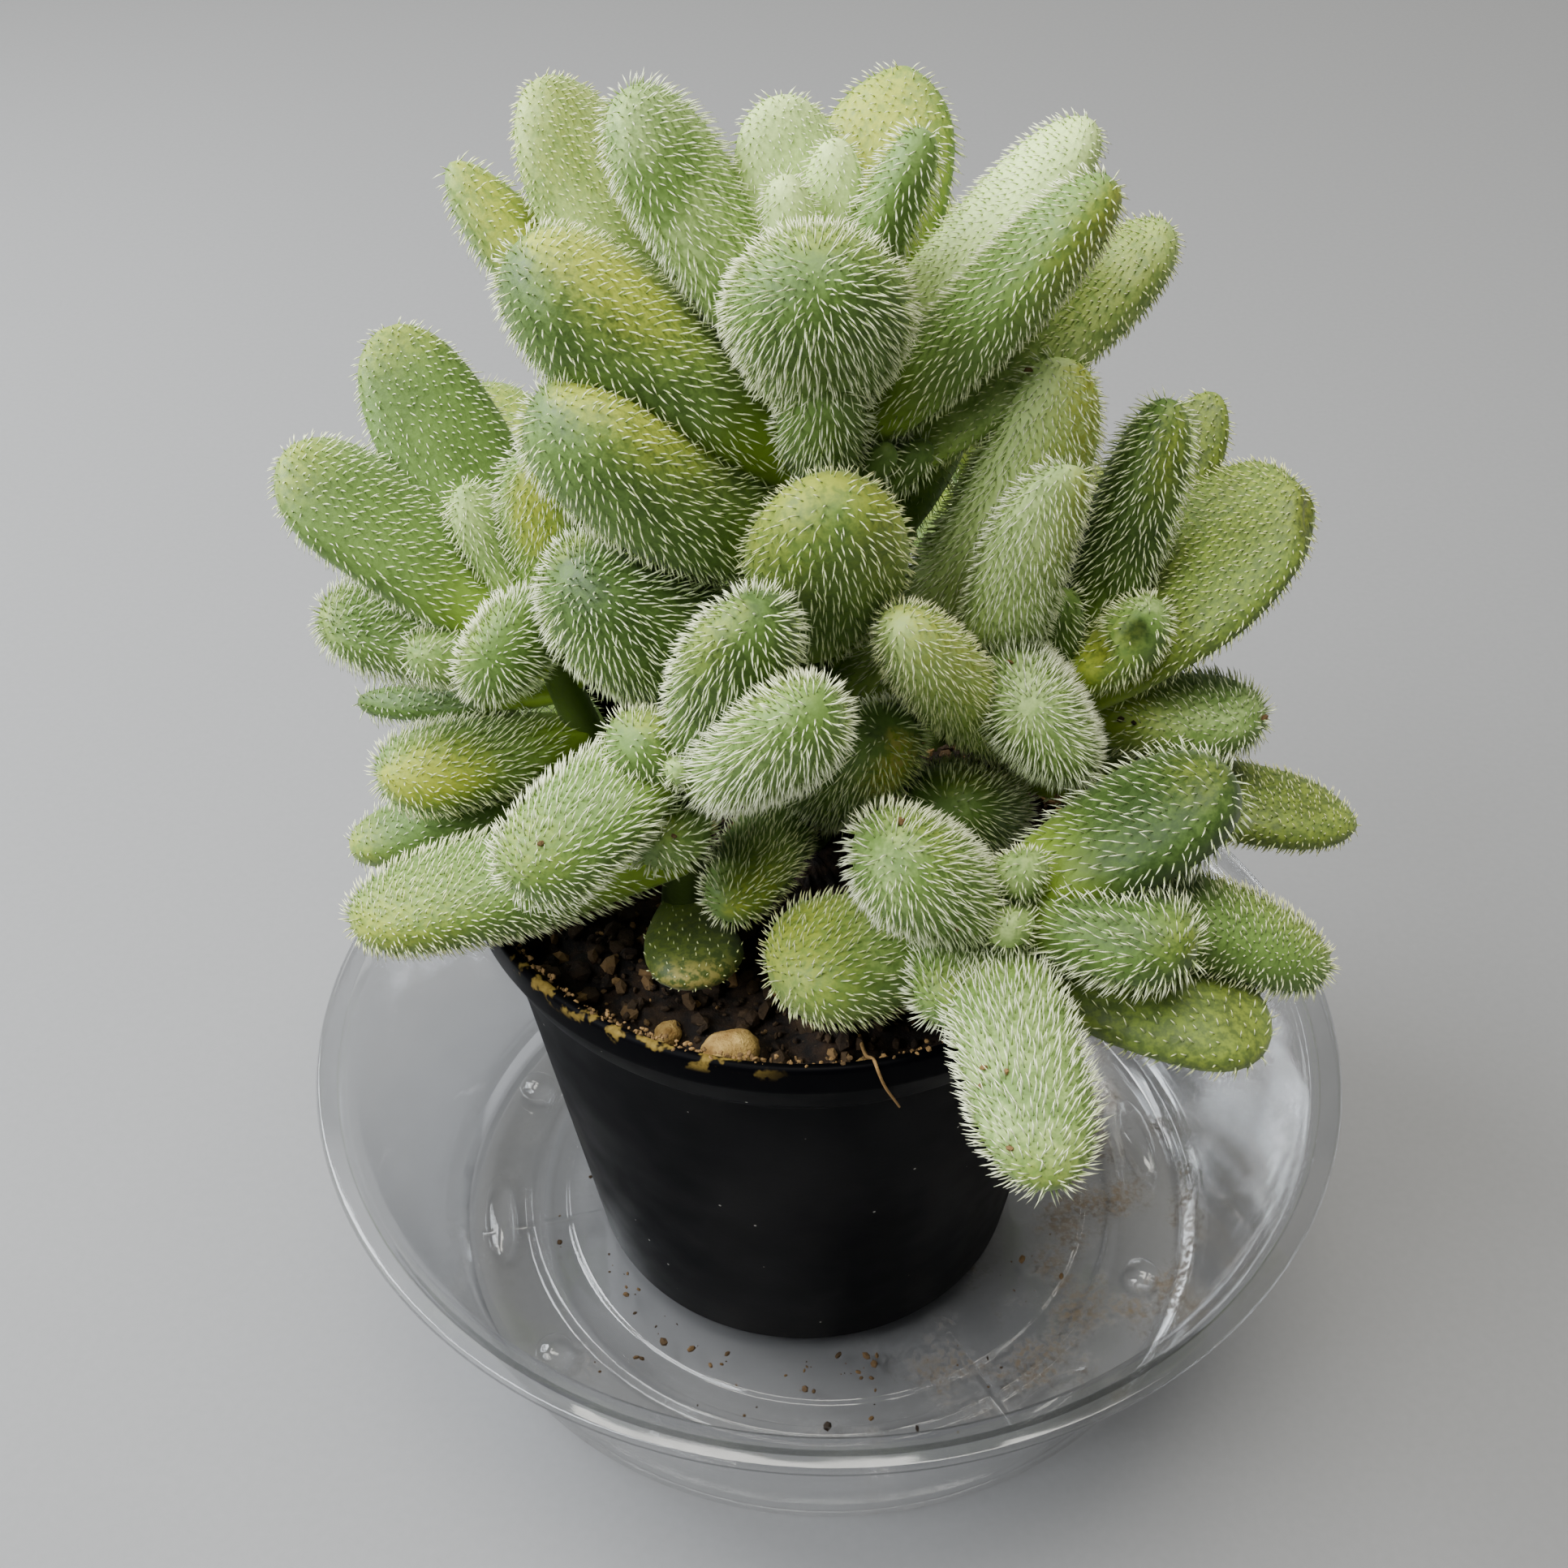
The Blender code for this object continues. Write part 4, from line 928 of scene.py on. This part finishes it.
def hairRoots(leaf, draw):  # rings of hairs, a gap apart along the leaf and round it
    look = leafLooks[leaf["look"]]
    gap = look["gap"]
    apart = gap * 0.87
    fine = np.linspace(0.08, 1, 300)
    girth = leafHalfWidth(fine, leaf["tip"]) * (leaf["width"] + leaf["thickness"]) / 4
    steps = np.hypot(np.diff(fine) * leaf["length"], np.diff(girth))
    along = np.concatenate(([0], np.cumsum(steps)))
    shares, angles = [], []
    sweep = np.linspace(0, 2 * math.pi, 73)
    for ring in range(int(along[-1] / apart)):
        share = np.interp((ring + 0.5) * apart, along, fine)
        section = leafSkin(leaf, np.full(len(sweep), share), sweep)
        turns = np.concatenate(([0], np.cumsum(np.linalg.norm(np.diff(section, axis=0), axis=1))))
        count = max(3, int(turns[-1] / gap))
        spots = (np.arange(count) + 0.5 * (ring % 2) + draw.uniform(-0.3, 0.3, count)) * turns[-1] / count
        angles.append(np.interp(spots % turns[-1], turns, sweep))
        shares.append(np.interp((ring + 0.5 + draw.uniform(-0.3, 0.3, count)) * apart, along, fine))
    share, angle = np.concatenate(shares), np.concatenate(angles)
    cover = np.interp(share, (0, 0.12, 0.4), (0.3, 0.4, 1))  # fewer hairs near the root, none in a hollow
    for dent in look["dents"]:
        cover = cover * (1 - np.minimum(1, 1.6 * patchWeight(share, angle, dent)))
    kept = draw.random(len(share)) < cover
    return share[kept], angle[kept]


def hairTemplate(plain):  # a plain hair is one cone, the others keep their width up to the middle
    bm = bmesh.new()
    bmesh.ops.create_cone(bm, cap_ends=True, segments=3, radius1=1, radius2=0, depth=1)
    bmesh.ops.remove_doubles(bm, verts=bm.verts, dist=1e-5)
    bmesh.ops.translate(bm, verts=bm.verts, vec=(0, 0, 0.5))
    if not plain:
        bmesh.ops.bisect_plane(bm, geom=bm.verts[:] + bm.edges[:] + bm.faces[:], plane_no=(0, 0, 1),
                               plane_co=(0, 0, hairForm["middleAt"]))
        for vert in bm.verts:
            if 0.1 < vert.co.z < 0.9:
                vert.co.xy *= hairForm["middle"] / (1 - hairForm["middleAt"])
    return toMesh(bm, "hair", 180)


def makeHairs(leaf, draw, template):
    look = leafLooks[leaf["look"]]
    share, angle = hairRoots(leaf, draw)
    root, normal, along = leafNormal(leaf, share, angle)
    count = len(share)
    yellow = patchWeight(share, angle, look["patch"]) * look["patch"][4]
    side = np.cross(normal, along)
    form = hairForm
    lean = np.radians(form["lean"] + form["rootLean"] * (1 - share) + draw.normal(0, 8, count))[:, None]
    sway = np.radians(draw.normal(0, form["sway"] + 10 * np.minimum(1, yellow), count))[:, None]
    aim = unit(normal * np.cos(lean) - along * np.sin(lean) + side * np.sin(sway))
    bend = unit(-along + side * draw.normal(0, 0.5, (count, 1)) - normal * 0.3)
    first = unit(np.cross(aim, bend))
    second = np.cross(aim, first)
    size = min(1, 0.6 + 0.03 * leaf["length"]) * (1 - 0.25 * np.minimum(1, yellow))
    length = (look["hair"] * size * draw.uniform(0.75, 1.15, count))[:, None, None]
    radius = form["radius"] * draw.uniform(0.85, 1.15, count)[:, None, None]
    shape = pointsOf(template)
    x, y, z = (shape[:, axis][None, :, None] for axis in range(3))
    points = (root - normal * form["sunk"])[:, None, :]
    points = points + (first[:, None, :] * x + second[:, None, :] * y) * radius
    points = points + aim[:, None, :] * z * length + bend[:, None, :] * (z ** 2) * length * form["bow"]
    tone = np.zeros((count, len(shape), 3))
    tone[:, :, 0] = shape[:, 2]
    # the hairs turn creamier on the yellow patch, which is partly painted sunlight
    tone[:, :, 1] = ((look["warm"] + 0.5 * yellow) * draw.uniform(0.6, 1.2, count))[:, None]
    return points, tone


def joinMeshes(name, meshes):
    bm = bmesh.new()
    for mesh in meshes:
        bm.from_mesh(mesh)
    joined = bpy.data.meshes.new(name)
    bm.to_mesh(joined)
    bm.free()
    joined.shade_smooth()
    return joined


def makeHairPieces(name, template, batches, material):  # as many leaves' hairs in a piece as it may hold
    each = sum(len(face.vertices) - 2 for face in template.polygons)
    most = hairForm["mostTriangles"] // each
    groups = [[]]
    for batch in batches:
        if sum(len(points) for points, _ in groups[-1]) + len(batch[0]) > most:
            groups.append([])
        groups[-1].append(batch)
    total = 0
    for number, group in enumerate(groups, 1):
        points = np.concatenate([points for points, _ in group]) * mm
        tones = np.concatenate([tone for _, tone in group])
        mesh = copiesOf("hair", template, points)
        paint(mesh, "hairPlace", tones.reshape(-1, 3))
        addPiece(f"{name}_{number}", mesh, material)
        total += len(points)
    return total, total * each


def makeLeafyStem(name, stem, leafMaterial, hairMaterial):
    draw = np.random.default_rng(sum(map(ord, name)))
    x, y, z = stem["points"][0]
    meshes = [tube(((x, y, z - 8), *stem["points"]), stem["radii"])]  # the stem goes on below the peat
    count = len(meshes[0].vertices)
    places = [np.tile((0.3, 0, 0.4), (count, 1))]
    kinds = [np.tile((0, 0, 1), (count, 1))]
    templates = {plain: hairTemplate(plain) for plain in (False, True)}
    batches = {False: [], True: []}
    for number in range(len(leafRows(stem))):
        leaf = readLeaf(name, number)
        mesh, place, kind = makeLeaf(leaf)
        meshes.append(mesh)
        places.append(place)
        kinds.append(kind)
        plain = leafLooks[leaf["look"]]["plain"]
        batches[plain].append(makeHairs(leaf, draw, templates[plain]))
    mesh = joinMeshes(name, meshes)
    paint(mesh, "leafPlace", np.concatenate(places))
    paint(mesh, "leafKind", np.concatenate(kinds))
    addPiece(f"{name}_leaves", mesh, leafMaterial, [name])
    for plain, words in ((False, "hairs"), (True, "back_hairs")):
        if batches[plain]:
            piece = f"{name}_{words}"
            hairs, triangles = makeHairPieces(piece, templates[plain], batches[plain], hairMaterial)
            print(f"{piece}: {hairs} hairs, {triangles} triangles")


# Dry flecks that lie on the leaves: stem, number of the leaf, share and angle on it, radius in mm, how tan

leafDebris = (
    ("sedum_crown", 15, 0.97, 93, 0.36, 0.3), ("sedum_low", 9, 0.69, 135, 0.30, 0.5),
    ("sedum_low", 9, 0.73, 147, 0.24, 0.3), ("sedum_low", 9, 0.72, 114, 0.26, 0.6),
    ("sedum_low", 9, 0.90, 141, 0.30, 0.4), ("sedum_front", 1, 0.81, 72, 0.30, 0.2),
    ("sedum_low", 6, 0.96, 102, 0.36, 0.3), ("sedum_low", 6, 0.61, -174, 0.28, 0.3),
    ("sedum_low", 6, 0.56, -21, 0.30, 0.4), ("sedum_right", 6, 0.97, 144, 0.40, 0.3),
    ("sedum_right", 6, 0.29, 144, 0.34, 0.0), ("sedum_right", 6, 0.35, 147, 0.26, 0.0),
    ("sedum_right", 8, 0.93, 165, 0.30, 0.4), ("sedum_right", 7, 0.14, 177, 0.55, 0.7),
    ("sedum_front", 5, 0.92, 48, 0.26, 0.2),
)


def makeDebris(material):
    flecks = []
    for name, number, share, angle, size, tan in leafDebris:
        leaf = readLeaf(name, number)
        place, normal, _ = leafNormal(leaf, np.array([share]), np.array([math.radians(angle)]))
        flecks.append((place[0] + normal[0] * 0.4 * size, size, tan))
    scatterGrains("leaf_debris", flecks, material)


# Floor, lights and camera

stage = {  # metres
    "floor": 3.0, "drop": 0.00005, "sky": (0.90, 0.93, 0.95), "skyPower": 0.20, "aim": (0, 0, 0.05),
}

lights = {  # place, size in metres, power in watts, colour
    "window": ((-0.33, 0.14, 0.33), 0.26, 4.0, (0.92, 0.96, 1.0)),
    "ceiling": ((0.04, 0.12, 1.55), 0.95, 32.0, (1.0, 0.97, 0.88)),
    "room": ((-0.40, -0.24, 0.46), 0.34, 4.4, (0.94, 0.97, 1.0)),
}

view = {
    "lens": 44.72, "sensor": 36, "elevation": 40.3, "roll": -0.5, "distance": 0.1715,
    "target": (-0.004, 0, 0.0558),
}


def makeStage(material):
    bm = bmesh.new()
    bmesh.ops.create_grid(bm, x_segments=1, y_segments=1, size=stage["floor"])
    mesh = bpy.data.meshes.new("floor")
    bm.to_mesh(mesh)
    bm.free()
    mesh.materials.append(material)
    floor = addObject("floor", mesh)
    floor.location.z = -stage["drop"]
    world = bpy.data.worlds.new("studio")
    world.use_nodes = True
    background = world.node_tree.nodes["Background"]
    setInputs(world.node_tree, background, {"Color": stage["sky"], "Strength": stage["skyPower"]})
    bpy.context.scene.world = world
    for name, (place, size, power, colour) in lights.items():
        lamp = bpy.data.lights.new(name, "AREA")
        lamp.size = size
        lamp.energy = power
        lamp.color = colour
        thing = addObject(name, lamp)
        thing.location = place
        thing.rotation_euler = (Vector(stage["aim"]) - Vector(place)).to_track_quat("-Z", "Y").to_euler()


def makeCamera():
    tilt, roll = math.radians(view["elevation"]), math.radians(view["roll"])
    ahead = Vector((0, math.cos(tilt), -math.sin(tilt)))
    up = Vector((1, 0, 0)).cross(ahead)
    side = Vector((1, 0, 0)) * math.cos(roll) + up * math.sin(roll)
    top = up * math.cos(roll) - Vector((1, 0, 0)) * math.sin(roll)
    turn = Matrix((side, top, -ahead)).transposed().to_4x4()
    lens = bpy.data.cameras.new("camera")
    lens.lens = view["lens"]
    lens.sensor_width = view["sensor"]
    lens.clip_start = 0.001
    camera = addObject("camera", lens)
    camera.matrix_world = Matrix.Translation(Vector(view["target"]) - ahead * view["distance"]) @ turn
    bpy.context.scene.camera = camera


def main():
    makeStage(makeFloorMaterial())
    makeCamera()
    print("floor, lights and camera placed")
    makeSaucer(makeSaucerMaterial())
    print("saucer turned")
    makePot(makePotMaterial())
    print("pot turned")
    peat = makeSoilMaterial()
    makeSoil(peat)
    makeGrains(peat)
    makeRootlet(peat)
    makePebbles(makePebbleMaterial())
    print("soil and stones laid")
    leafMaterial, hairMaterial = makeLeafMaterial(), makeHairMaterial()
    for name, stem in leafyStems.items():
        makeLeafyStem(name, stem, leafMaterial, hairMaterial)
    makeDebris(peat)


main()
